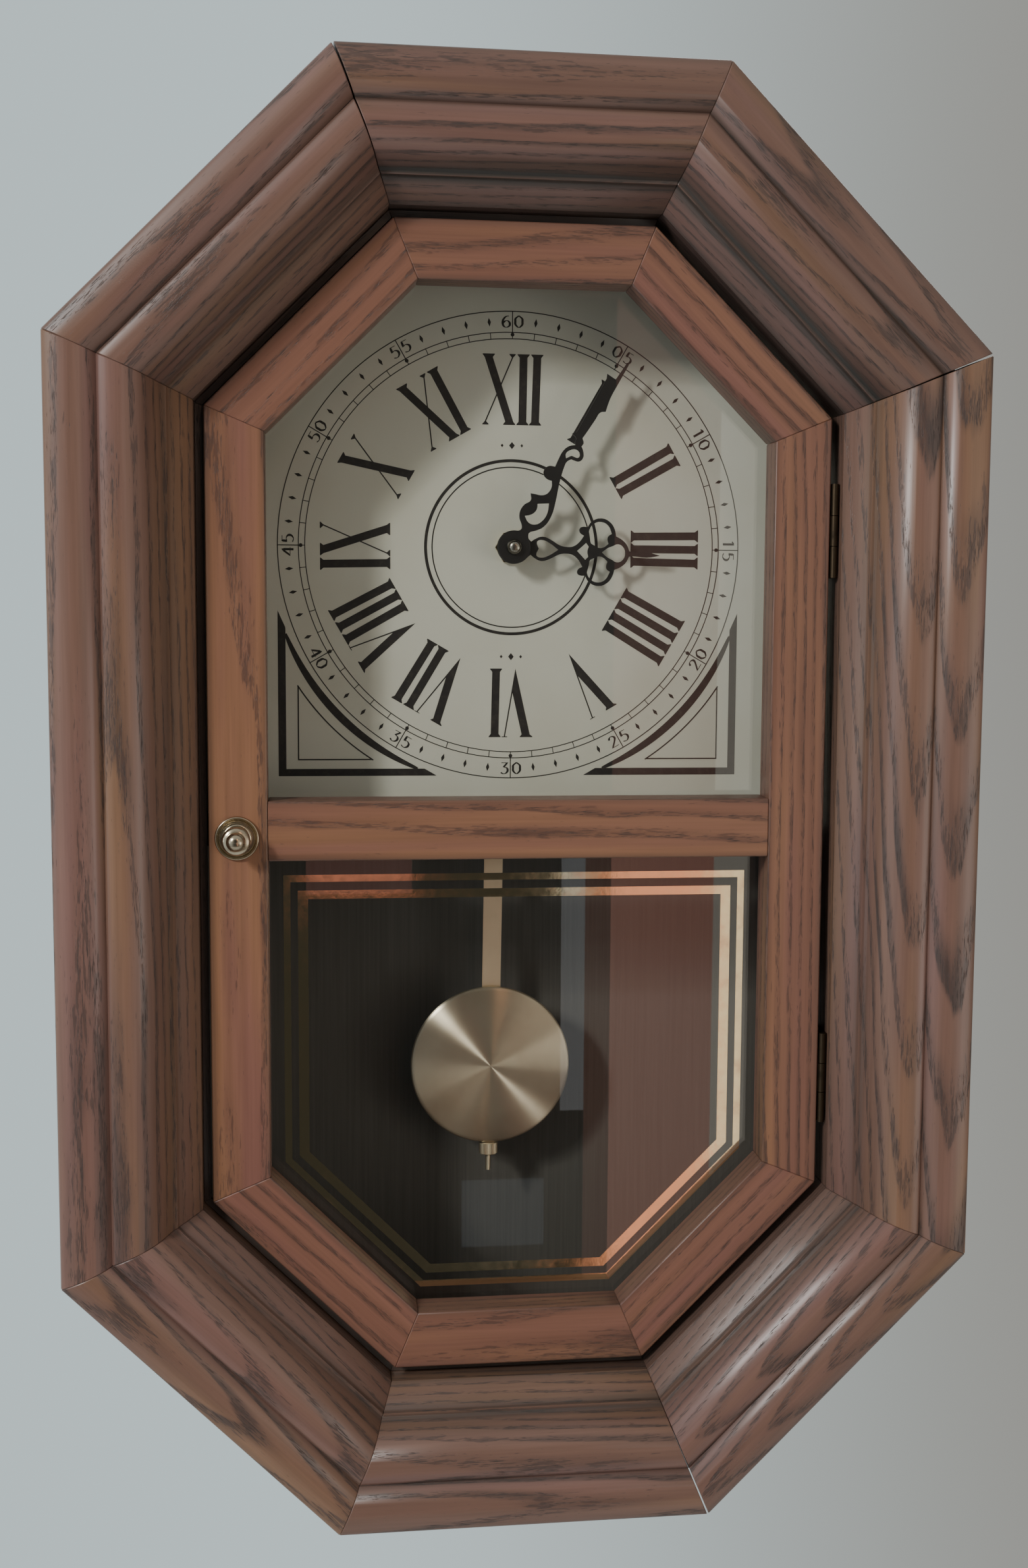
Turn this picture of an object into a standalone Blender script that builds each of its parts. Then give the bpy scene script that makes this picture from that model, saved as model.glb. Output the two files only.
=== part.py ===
"""Schoolhouse wall clock: octagonal oak case, hinged door, battery movement and pendulum.

Frame: metres, +Z up. The wall is the plane y = 0, the front faces -Y, and the origin is
the middle of the case's back.
"""
import math

import bmesh
import bpy
from mathutils import Matrix, Vector

# ---------------------------------------------------------------- driving dimensions
HALF_HEIGHT = 0.3048
HALF_WIDTH = 0.192
CORNER_CUT = HALF_WIDTH * (2 - math.sqrt(2))      # the ends are halves of a regular octagon
GAP = 0.0003                                      # between pieces that touch
MITRE_ANGLE = math.radians(22.5)

FRONT_Y = -0.130                                  # plane of the moulding's outer silhouette
MOULDING_STEP_Y = -0.098                          # moulding's back over the case boards
MOULDING_BACK_Y = -0.077
MOULDING_INNER = 0.0559                           # insets from the outer octagon
CASE_OUTER = 0.006
CASE_INNER = 0.016
BACK_PANEL_THICKNESS = 0.006

DOOR_OUTER = 0.060
DOOR_SIGHT = 0.0845
DOOR_REBATE = 0.0785
DOOR_FRONT_Y = -0.0992
DOOR_GLASS_Y = -0.0822                            # front wall of the glass rebate
DOOR_BACK_Y = -0.0785
GLASS_THICKNESS = 0.0025
MID_RAIL_TOP = 0.0046
MID_RAIL_BOTTOM = -0.0208
RAIL_REBATE = 0.006

DIAL_CENTRE_Z = 0.1125
DIAL_FRONT_Y = -0.046
DIAL_THICKNESS = 0.0005
DIAL_BOARD_THICKNESS = 0.005
DIAL_INSET = 0.066
DIAL_BOTTOM = -0.014
DIAL_BOARD_BOTTOM = -0.020
DIAL_HOLE_RADIUS = 0.0056
MOVEMENT_FRONT_Y = -0.0399
MOVEMENT_BACK_Y = -0.015
MOVEMENT_HALF_WIDTH = 0.056
MOVEMENT_TOP = 0.1455
MOVEMENT_BOTTOM = 0.0675
MOVEMENT_WALL = 0.0016

HOUR_HAND_Y = -0.0554
MINUTE_HAND_Y = -0.0587
HAND_THICKNESS = 0.0008
MINUTES_PAST_THREE = 5.3                          # the time that the hands show

HINGE_X = 0.13405
HINGE_Y = -0.0985
HINGE_Z = (0.120, -0.120)
HINGE_LENGTH = 0.040
KNUCKLE_RADIUS = 0.0016
HINGE_PIN_RADIUS = 0.00075

KNOB_X = -0.1203
KNOB_Z = -0.0108

PENDULUM_X = -0.0045                              # its hook hangs a little left of the middle
PENDULUM_Y = -0.030
PENDULUM_PIVOT_Z = 0.0615
PENDULUM_TILT = math.radians(0.8)                 # where the swing stands
BOB_DROP = 0.1893                                 # bob's centre below the pivot
BOB_RADIUS = 0.0372
ROD_WIDTH = 0.0086

MM = 0.001

# ---------------------------------------------------------------- finishes
OAK = ((0.30, 0.145, 0.075), 0.35, 0.0)
OAK_DOOR = ((0.34, 0.16, 0.08), 0.38, 0.0)
PLYWOOD = ((0.42, 0.29, 0.17), 0.7, 0.0)
FIBREBOARD = ((0.33, 0.24, 0.15), 0.85, 0.0)
DIAL_PAPER = ((0.74, 0.73, 0.66), 0.55, 0.0)
GLASS = ((0.95, 0.97, 0.96), 0.03, 0.0)
BRASS = ((0.62, 0.52, 0.36), 0.3, 1.0)
AGED_BRASS = ((0.30, 0.23, 0.13), 0.45, 1.0)
STEEL = ((0.55, 0.55, 0.56), 0.35, 1.0)
BLACK_STEEL = ((0.02, 0.02, 0.02), 0.45, 0.6)
BLACK_PLASTIC = ((0.03, 0.03, 0.03), 0.5, 0.0)
WHITE_PLASTIC = ((0.75, 0.75, 0.73), 0.4, 0.0)
COPPER = ((0.70, 0.33, 0.18), 0.35, 1.0)
BATTERY_JACKET = ((0.10, 0.10, 0.11), 0.35, 0.2)

PARTS = "schoolhouse_wall_clock"
CUTTERS = "cutters"


# ---------------------------------------------------------------- scene and object helpers
def clear_scene():
    for obj in list(bpy.data.objects):
        bpy.data.objects.remove(obj, do_unlink=True)


def collection(name):
    found = bpy.data.collections.get(name)
    if found is None:
        found = bpy.data.collections.new(name)
        bpy.context.scene.collection.children.link(found)
    return found


def give_material(obj, finish):
    colour, roughness, metallic = finish
    material = bpy.data.materials.new(obj.name + "_material")
    material.use_nodes = True
    shader = material.node_tree.nodes["Principled BSDF"]
    shader.inputs["Base Color"].default_value = (*colour, 1.0)
    shader.inputs["Roughness"].default_value = roughness
    shader.inputs["Metallic"].default_value = metallic
    obj.data.materials.clear()
    obj.data.materials.append(material)


def add_object(name, mesh, finish, group=PARTS):
    obj = bpy.data.objects.new(name, mesh)
    collection(group).objects.link(obj)
    if finish is None:
        obj.hide_render = True
        obj.display_type = "WIRE"
    else:
        give_material(obj, finish)
    return obj


def mesh_from(bm, name):
    bmesh.ops.recalc_face_normals(bm, faces=bm.faces)
    if bm.calc_volume(signed=True) < 0:
        bmesh.ops.reverse_faces(bm, faces=bm.faces)
    mesh = bpy.data.meshes.new(name)
    bm.to_mesh(mesh)
    bm.free()
    return mesh


def box(name, low, high, finish=None, bevel=0.0):
    """A box between two corners. Without a finish it is a cutter or a piece to join."""
    low, high = Vector(low), Vector(high)
    bm = bmesh.new()
    place = Matrix.Translation((low + high) / 2) @ Matrix.Diagonal((*(high - low), 1.0))
    bmesh.ops.create_cube(bm, size=1.0, matrix=place)
    if bevel:
        bmesh.ops.bevel(bm, geom=bm.edges[:], offset=bevel, segments=2, affect="EDGES", profile=0.5)
    return add_object(name, mesh_from(bm, name), finish, PARTS if finish else CUTTERS)


def rod_along_y(name, radius, y_front, y_back, x=0.0, z=0.0, finish=None, segments=24):
    """A round bar along Y."""
    bm = bmesh.new()
    place = Matrix.Translation((x, (y_front + y_back) / 2, z)) @ Matrix.Rotation(math.pi / 2, 4, "X")
    bmesh.ops.create_cone(bm, cap_ends=True, segments=segments, radius1=radius, radius2=radius,
                          depth=abs(y_back - y_front), matrix=place)
    return add_object(name, mesh_from(bm, name), finish, PARTS if finish else CUTTERS)


def rod_along_z(name, radius, z_low, z_high, x=0.0, y=0.0, finish=None, segments=16):
    """A round bar along Z."""
    bm = bmesh.new()
    bmesh.ops.create_cone(bm, cap_ends=True, segments=segments, radius1=radius, radius2=radius,
                          depth=z_high - z_low, matrix=Matrix.Translation((x, y, (z_low + z_high) / 2)))
    return add_object(name, mesh_from(bm, name), finish, PARTS if finish else CUTTERS)


def combine(obj, others, operation):
    """Boolean modifiers on obj, one for each of the others."""
    for other in others:
        modifier = obj.modifiers.new(operation.lower() + "_" + other.name, "BOOLEAN")
        modifier.operation = operation
        modifier.object = other
        modifier.solver = "EXACT"
    return obj


def join(obj, *others):
    return combine(obj, others, "UNION")


def cut(obj, *others):
    return combine(obj, others, "DIFFERENCE")


# ---------------------------------------------------------------- flat and turned shapes
def flat_mesh(name, outlines, thickness, smooth_steps=0):
    """Closed mesh of a flat outline with holes, in local XY, centred on local z = 0.

    A point is (x, y), or (x, y, "corner") where a smooth outline turns sharply.
    """
    curve = bpy.data.curves.new(name, "CURVE")
    curve.dimensions = "2D"
    curve.fill_mode = "BOTH"
    curve.extrude = thickness / 2
    for outline in outlines:
        if smooth_steps:
            spline = curve.splines.new("BEZIER")
            spline.resolution_u = smooth_steps
            spline.bezier_points.add(len(outline) - 1)
            for point, place in zip(spline.bezier_points, outline):
                point.co = (place[0], place[1], 0)
                handle = "VECTOR" if len(place) == 3 else "AUTO"
                point.handle_left_type = handle
                point.handle_right_type = handle
        else:
            spline = curve.splines.new("POLY")
            spline.points.add(len(outline) - 1)
            for point, place in zip(spline.points, outline):
                point.co = (place[0], place[1], 0, 1)
        spline.use_cyclic_u = True
    guide = bpy.data.objects.new(name + "_outline", curve)
    collection(CUTTERS).objects.link(guide)
    bpy.context.view_layer.update()
    evaluated = guide.evaluated_get(bpy.context.evaluated_depsgraph_get())
    mesh = bpy.data.meshes.new_from_object(evaluated)
    bpy.data.objects.remove(guide, do_unlink=True)
    bm = bmesh.new()
    bm.from_mesh(mesh)
    bpy.data.meshes.remove(mesh)
    bmesh.ops.remove_doubles(bm, verts=bm.verts, dist=0.000002)
    return mesh_from(bm, name)


def plate(name, outlines, y_front, y_back, finish=None, smooth_steps=0):
    """A flat piece facing the front: its outlines are (x, z) points."""
    mesh = flat_mesh(name, outlines, abs(y_back - y_front), smooth_steps)
    middle = Matrix.Translation((0, (y_front + y_back) / 2, 0))
    mesh.transform(middle @ Matrix.Rotation(math.pi / 2, 4, "X"))
    return add_object(name, mesh, finish, PARTS if finish else CUTTERS)


def circle(radius, x=0.0, z=0.0, count=32):
    turns = [2 * math.pi * i / count for i in range(count)]
    return [(x + radius * math.cos(t), z + radius * math.sin(t)) for t in turns]


def turned(name, profile, location, finish, axis="FRONT", steps=32):
    """A turned solid. The profile runs (radius, height) from its top to its bottom.

    Axis FRONT turns the top of the profile towards -Y; axis UP leaves it along +Z.
    """
    mesh = bpy.data.meshes.new(name)
    points = [(r, 0, h) for r, h in profile]
    hollow = profile[0][0] > 0 and profile[-1][0] > 0
    edges = [(i, i + 1) for i in range(len(points) - 1)]
    if hollow:
        edges.append((len(points) - 1, 0))
    mesh.from_pydata(points, edges, [])
    obj = add_object(name, mesh, finish, PARTS if finish else CUTTERS)
    screw = obj.modifiers.new("turn", "SCREW")
    screw.steps = steps
    screw.render_steps = steps
    screw.use_merge_vertices = True
    screw.merge_threshold = 0.00001
    screw.use_smooth_shade = True
    obj.location = location
    if axis == "FRONT":
        obj.rotation_euler = (math.pi / 2, 0, 0)
    return obj


# ---------------------------------------------------------------- the octagon
def octagon(inset):
    """The eight corners at this inset, from the top side's left end, clockwise seen from the front."""
    w = HALF_WIDTH - inset
    h = HALF_HEIGHT - inset
    cut_back = CORNER_CUT - inset * (2 - math.sqrt(2))
    return [(-(w - cut_back), h), (w - cut_back, h), (w, h - cut_back), (w, -(h - cut_back)),
            (w - cut_back, -h), (-(w - cut_back), -h), (-w, -(h - cut_back)), (-w, h - cut_back)]


SIDES = ("top", "top_right", "right", "bottom_right", "bottom", "bottom_left", "left", "top_left")


def octagon_above(inset, z_low):
    """The octagon's outline cut off level at z_low."""
    corners = octagon(inset)
    half = HALF_WIDTH - inset
    return [(-half, z_low), corners[7], corners[0], corners[1], corners[2], (half, z_low)]


def octagon_below(inset, z_high):
    corners = octagon(inset)
    half = HALF_WIDTH - inset
    return [(half, z_high), corners[3], corners[4], corners[5], corners[6], (-half, z_high)]


def ring_member(name, side, profile, finish):
    """One mitred side of an octagonal ring, from its cross-section of (inset, y) points."""
    corners = octagon(0.0)
    index = SIDES.index(side)
    start, end = Vector(corners[index]), Vector(corners[(index + 1) % 8])
    middle = (start + end) / 2
    along = (end - start).normalized()
    inward = Vector((along.y, -along.x))
    length = (end - start).length
    mesh = flat_mesh(name, [profile], length)
    bm = bmesh.new()
    bm.from_mesh(mesh)
    for end_sign in (1, -1):
        normal = Vector((math.sin(MITRE_ANGLE), 0, end_sign * math.cos(MITRE_ANGLE)))
        point = Vector((0, 0, end_sign * length / 2)) - normal * GAP / 2
        geometry = bm.verts[:] + bm.edges[:] + bm.faces[:]
        bmesh.ops.bisect_plane(bm, geom=geometry, plane_co=point, plane_no=normal, clear_outer=True)
        rim = [edge for edge in bm.edges if edge.is_boundary]
        bmesh.ops.edgeloop_fill(bm, edges=rim)
    bmesh.ops.remove_doubles(bm, verts=bm.verts, dist=0.000001)
    axes = Matrix((
        (inward.x, 0, -inward.y),
        (0, 1, 0),
        (inward.y, 0, inward.x),
    ))
    bm.transform(Matrix.Translation((middle.x, 0, middle.y)) @ axes.to_4x4())
    bpy.data.meshes.remove(mesh)
    return add_object(name, mesh_from(bm, name), finish)


# ---------------------------------------------------------------- case
def moulding_profile():
    """Cross-section of the front moulding, as (inset, y) points.

    From the outer edge inwards: rounded nose and wide crest, quirk, wider second crest,
    steep shoulder, small fillet and a sloping flat down to the inner edge.
    """
    face = [(0.0, 2.6), (0.5, 0.9), (1.6, -0.2), (3.6, -1.2), (6.5, -1.9), (10.0, -2.2), (13.5, -1.7),
            (16.8, -0.5), (19.0, 1.0), (20.4, 2.9), (21.3, 2.9), (22.4, 1.6), (25.5, 0.9), (29.0, 1.0),
            (32.5, 1.9), (35.5, 3.4), (38.2, 5.6), (40.6, 8.4), (42.6, 11.6), (44.0, 14.0), (45.2, 15.0),
            (46.2, 15.2), (46.8, 16.6), (50.9, 20.6), (54.9, 25.3), (55.9, 26.6)]
    points = [(inset * MM, FRONT_Y + drop * MM) for inset, drop in face]
    back = [(MOULDING_INNER, MOULDING_BACK_Y), (CASE_INNER + 2 * GAP, MOULDING_BACK_Y),
            (CASE_INNER + 2 * GAP, MOULDING_STEP_Y), (0.0, MOULDING_STEP_Y)]
    return points + back


def make_case():
    for side in SIDES:
        ring_member("moulding_" + side, side, moulding_profile(), OAK)
    board = [(CASE_OUTER, MOULDING_STEP_Y + GAP), (CASE_INNER, MOULDING_STEP_Y + GAP),
             (CASE_INNER, 0), (CASE_OUTER, 0)]
    for side in SIDES:
        ring_member("case_side_" + side, side, board, OAK)
    make_back_panel()
    bushing_hole = circle(DIAL_HOLE_RADIUS, z=DIAL_CENTRE_Z)
    board_front = DIAL_FRONT_Y + DIAL_THICKNESS + GAP
    plate("dial_board", [octagon_above(CASE_INNER + 2 * GAP, DIAL_BOARD_BOTTOM), bushing_hole],
          board_front, board_front + DIAL_BOARD_THICKNESS, FIBREBOARD)
    plate("dial", [octagon_above(DIAL_INSET, DIAL_BOTTOM), bushing_hole],
          DIAL_FRONT_Y, DIAL_FRONT_Y + DIAL_THICKNESS, DIAL_PAPER)


HANGER_Z = 0.258
HANGER_HALF_WIDTH = 0.030
HANGER_HALF_HEIGHT = 0.011
HANGER_FRONT_Y = -0.0021
HANGER_SEAT_Y = -0.0024
HANGER_POCKET_HALF_WIDTH = 0.014
HANGER_POCKET_HALF_HEIGHT = 0.008
HANGER_SCREW_X = 0.024
HANGER_SCREW_RADIUS = 0.002
SERVICE_HALF_WIDTH = 0.066
SERVICE_LOW_Z = 0.056
SERVICE_HIGH_Z = 0.158


def make_back_panel():
    through_front, through_back = -0.02, 0.01
    panel = plate("back_panel", [octagon(CASE_INNER + 2 * GAP)], -BACK_PANEL_THICKNESS, 0, PLYWOOD)
    service = box("service_opening_cutter", (-SERVICE_HALF_WIDTH, through_front, SERVICE_LOW_Z),
                  (SERVICE_HALF_WIDTH, through_back, SERVICE_HIGH_Z))
    seat_half_width = HANGER_HALF_WIDTH + GAP
    seat_half_height = HANGER_HALF_HEIGHT + GAP
    seat = box("hanger_seat_cutter", (-seat_half_width, HANGER_SEAT_Y, HANGER_Z - seat_half_height),
               (seat_half_width, through_back, HANGER_Z + seat_half_height))
    pocket = box("hanger_pocket_cutter",
                 (-HANGER_POCKET_HALF_WIDTH, through_front, HANGER_Z - HANGER_POCKET_HALF_HEIGHT),
                 (HANGER_POCKET_HALF_WIDTH, through_back, HANGER_Z + HANGER_POCKET_HALF_HEIGHT))
    cut(panel, service, seat, pocket)
    screw_holes = [circle(HANGER_SCREW_RADIUS, x, HANGER_Z, 12) for x in (-HANGER_SCREW_X, HANGER_SCREW_X)]
    plate("hanger_plate", [hanger_outline(), keyhole()] + screw_holes, HANGER_FRONT_Y, -GAP, STEEL)


def hanger_outline():
    corner = 0.004
    w, h = HANGER_HALF_WIDTH, HANGER_HALF_HEIGHT
    return [(-w, HANGER_Z - h + corner), (-w + corner, HANGER_Z - h), (w - corner, HANGER_Z - h),
            (w, HANGER_Z - h + corner), (w, HANGER_Z + h - corner), (w - corner, HANGER_Z + h),
            (-w + corner, HANGER_Z + h), (-w, HANGER_Z + h - corner)]


def keyhole():
    """Round entry with a narrow slot above it for the screw's shank."""
    entry_radius, slot_half, slot_top = 0.0045, 0.0022, 0.007
    entry_z = HANGER_Z - 0.003
    join_angle = math.acos(slot_half / entry_radius)
    sweep = math.pi + 2 * join_angle
    turns = [join_angle - sweep * i / 14 for i in range(15)]
    entry = [(entry_radius * math.cos(t), entry_z + entry_radius * math.sin(t)) for t in turns]
    crown = [(slot_half * math.cos(t), HANGER_Z + slot_top - slot_half + slot_half * math.sin(t))
             for t in (math.pi, 0.75 * math.pi, 0.5 * math.pi, 0.25 * math.pi, 0.0)]
    return entry + crown


# ---------------------------------------------------------------- door
def make_door():
    eased = 0.0008
    profile = [(DOOR_OUTER, DOOR_FRONT_Y + eased), (DOOR_OUTER + eased, DOOR_FRONT_Y),
               (DOOR_SIGHT - eased, DOOR_FRONT_Y), (DOOR_SIGHT, DOOR_FRONT_Y + eased),
               (DOOR_SIGHT, DOOR_GLASS_Y), (DOOR_REBATE, DOOR_GLASS_Y),
               (DOOR_REBATE, DOOR_BACK_Y), (DOOR_OUTER, DOOR_BACK_Y)]
    kinds = {"left": "stile", "right": "stile"}
    for side in SIDES:
        ring_member("door_" + side + "_" + kinds.get(side, "rail"), side, profile, OAK_DOOR)
    make_mid_rail(eased)
    rebate_clearance = DOOR_REBATE + 0.0005
    glass_front = DOOR_GLASS_Y + GAP
    glass_back = glass_front + GLASS_THICKNESS
    plate("dial_glass", [octagon_above(rebate_clearance, MID_RAIL_TOP - RAIL_REBATE + 0.0005)],
          glass_front, glass_back, GLASS)
    plate("pendulum_glass", [octagon_below(rebate_clearance, MID_RAIL_BOTTOM + RAIL_REBATE - 0.0005)],
          glass_front, glass_back, GLASS)


def make_mid_rail(eased):
    """The rail between the two glasses: a bar along X between the stiles, rebated behind."""
    half_length = HALF_WIDTH - DOOR_SIGHT - GAP
    section = [(DOOR_FRONT_Y, MID_RAIL_BOTTOM + eased), (DOOR_FRONT_Y, MID_RAIL_TOP - eased),
               (DOOR_FRONT_Y + eased, MID_RAIL_TOP), (DOOR_GLASS_Y, MID_RAIL_TOP),
               (DOOR_GLASS_Y, MID_RAIL_TOP - RAIL_REBATE), (DOOR_BACK_Y, MID_RAIL_TOP - RAIL_REBATE),
               (DOOR_BACK_Y, MID_RAIL_BOTTOM + RAIL_REBATE), (DOOR_GLASS_Y, MID_RAIL_BOTTOM + RAIL_REBATE),
               (DOOR_GLASS_Y, MID_RAIL_BOTTOM), (DOOR_FRONT_Y + eased, MID_RAIL_BOTTOM)]
    mesh = flat_mesh("door_mid_rail", [section], 2 * half_length)
    mesh.transform(Matrix(((0, 0, 1, 0), (1, 0, 0, 0), (0, 1, 0, 0), (0, 0, 0, 1))))
    add_object("door_mid_rail", mesh, OAK_DOOR)


def make_knob():
    plate_profile = [(0.0, 0.0011), (0.0046, 0.0011), (0.0052, 0.0008), (0.0076, 0.0008),
                     (0.0082, 0.0016), (0.0089, 0.0013), (0.0093, 0.0), (0.0, 0.0)]
    turned("knob_plate", plate_profile, (KNOB_X, DOOR_FRONT_Y - GAP, KNOB_Z), BRASS)
    knob_profile = [(0.0, 0.0150), (0.0020, 0.0146), (0.0038, 0.0134), (0.0052, 0.0114), (0.0060, 0.0090),
                    (0.0060, 0.0074), (0.0050, 0.0058), (0.0034, 0.0046), (0.0030, 0.0030), (0.0036, 0.0),
                    (0.0, 0.0)]
    knob_foot_y = DOOR_FRONT_Y - 0.0017
    turned("door_knob", knob_profile, (KNOB_X, knob_foot_y, KNOB_Z), BRASS)


def make_hinges():
    for place, centre_z in zip(("upper", "lower"), HINGE_Z):
        low = centre_z - HINGE_LENGTH / 2
        third = HINGE_LENGTH / 3
        own_ends = ((low, low + third), (low + 2 * third, low + HINGE_LENGTH))
        make_leaf("hinge_" + place + "_case_leaf", 1, low, own_ends, pin=True)
        middle_knuckle = ((low + third + GAP, low + 2 * third - GAP),)
        make_leaf("hinge_" + place + "_door_leaf", -1, low, middle_knuckle, pin=False)


def make_leaf(name, side, low, knuckles, pin):
    """A hinge leaf with its knuckles: side 1 lies on the case's edge, side -1 on the door's."""
    leaf_inner, leaf_outer, clear_of_knuckle, leaf_depth = 0.00075, 0.00175, 0.0020, 0.0185
    tab_depth, pin_clearance = 0.004, 0.0002
    near, far = sorted((HINGE_X + side * leaf_inner, HINGE_X + side * leaf_outer))
    high = low + HINGE_LENGTH
    leaf = box(name, (near, HINGE_Y + clear_of_knuckle, low), (far, HINGE_Y + leaf_depth, high), AGED_BRASS)
    for number, (z_low, z_high) in enumerate(knuckles):
        tab = box(name + "_tab_%d" % number, (near, HINGE_Y, z_low), (far, HINGE_Y + tab_depth, z_high))
        barrel = rod_along_z(name + "_knuckle_%d" % number, KNUCKLE_RADIUS, z_low, z_high, HINGE_X, HINGE_Y)
        join(leaf, tab, barrel)
    if pin:
        join(leaf, rod_along_z(name + "_pin", HINGE_PIN_RADIUS, low, high, HINGE_X, HINGE_Y, segments=12))
    else:
        bore_radius = HINGE_PIN_RADIUS + pin_clearance
        cut(leaf, rod_along_z(name + "_bore", bore_radius, low, high, HINGE_X, HINGE_Y, segments=12))


def make_catch():
    """A steel strike on the door's back and, behind it, a block with the magnet on the moulding's back."""
    strike_left, strike_right, strike_low, strike_high = -0.1285, -0.1135, -0.020, 0.0
    strike_front = DOOR_BACK_Y + GAP
    strike_thickness = 0.0012
    outline = [(strike_left, strike_low), (strike_right, strike_low), (strike_right, strike_high),
               (strike_left, strike_high)]
    plate("door_strike", [outline], strike_front, strike_front + strike_thickness, STEEL)
    block_low = (-0.158, MOULDING_BACK_Y + GAP, -0.017)
    block_high = (-0.117, MOULDING_BACK_Y + 0.0095, -0.003)
    box("catch_magnet", block_low, block_high, BLACK_PLASTIC, bevel=0.0008)


# ---------------------------------------------------------------- hands
def radial_outline(points, angle):
    """Turns (along, across) millimetre points of a hand into (x, z): angle runs clockwise from twelve."""
    s, c = math.sin(angle), math.cos(angle)
    turned_points = []
    for point in points:
        along, across = point[0] * MM, point[1] * MM
        place = (along * s + across * c, DIAL_CENTRE_Z + along * c - across * s)
        turned_points.append(place + tuple(point[2:]))
    return turned_points


def mirrored(half):
    """A closed outline from its upper half: the lower half runs back mirrored."""
    return half + [(p[0], -p[1]) + tuple(p[2:]) for p in reversed(half) if abs(p[1]) > 0.01]


def hub_arc(radius, start, end, count):
    """Points round the back of the hub, between two angles in degrees from the hand's line."""
    turns = [math.radians(start + (end - start) * i / (count - 1)) for i in range(count)]
    return [(radius * math.cos(t), radius * math.sin(t)) for t in turns]


HUB_RADIUS_MM = 7.2
HOUR_BORE_RADIUS = 0.0026
MINUTE_BORE_RADIUS = 0.0017
HAND_CURVE_STEPS = 3


def make_hand(name, outlines, angle, bore_radius, middle_y):
    flat = [radial_outline(outline, angle) for outline in outlines]
    flat.append(circle(bore_radius, z=DIAL_CENTRE_Z, count=20))
    plate(name, flat, middle_y - HAND_THICKNESS / 2, middle_y + HAND_THICKNESS / 2, BLACK_STEEL,
          smooth_steps=HAND_CURVE_STEPS)


def make_hour_hand():
    angle = math.radians(90 + MINUTES_PAST_THREE / 2)
    half = [(-HUB_RADIUS_MM, 0.0), (-0.98 * HUB_RADIUS_MM, -0.20 * HUB_RADIUS_MM),
            (-0.92 * HUB_RADIUS_MM, -0.40 * HUB_RADIUS_MM), (-5.1, -5.1), (0.0, -HUB_RADIUS_MM),
            (5.3, -4.9), (7.7, -2.9, "corner"), (9.3, -4.1), (12.6, -5.4), (16.3, -4.3), (20.6, -2.0), (23.7, -1.5), (26.6, -1.9), (29.3, -4.0),
            (31.2, -6.9, "corner"), (29.3, -8.1), (29.1, -10.0), (30.6, -10.8), (32.6, -10.7, "corner"),
            (34.4, -13.4), (38.6, -15.0), (42.6, -13.5), (44.9, -10.3), (45.6, -7.4, "corner"),
            (48.0, -6.3), (50.6, -4.0), (51.9, -1.2, "corner"), (54.0, -0.9), (60.0, -1.2),
            (65.6, -0.1, "corner")]
    heart = mirrored([(11.2, 0.0, "corner"), (10.3, -1.9, "corner"), (10.4, -3.2), (12.6, -3.9),
                      (15.5, -3.0), (20.0, 0.0, "corner")])
    diamond = mirrored([(28.4, 0.0, "corner"), (30.7, -2.2), (32.3, -3.8, "corner"),
                        (33.6, -2.2, "corner"), (33.1, 0.0)])
    tip_loop = mirrored([(39.6, 0.0, "corner"), (42.2, -2.1), (44.3, -3.0, "corner"), (46.4, -4.0),
                         (48.8, -3.2), (50.2, 0.0)])
    side_loop = [(34.5, -3.6, "corner"), (33.4, -6.6), (33.4, -9.6), (35.3, -12.4), (38.7, -13.4),
                 (41.9, -11.9), (43.7, -8.4, "corner"), (42.1, -7.2), (41.9, -5.6), (42.4, -4.0, "corner"),
                 (40.4, -2.3), (38.1, -1.9), (36.3, -2.7, "corner")]
    other_loop = [(p[0], -p[1]) + tuple(p[2:]) for p in reversed(side_loop)]
    outlines = [mirrored(half), heart, diamond, tip_loop, side_loop, other_loop]
    make_hand("hour_hand", outlines, angle, HOUR_BORE_RADIUS, HOUR_HAND_Y)


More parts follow.
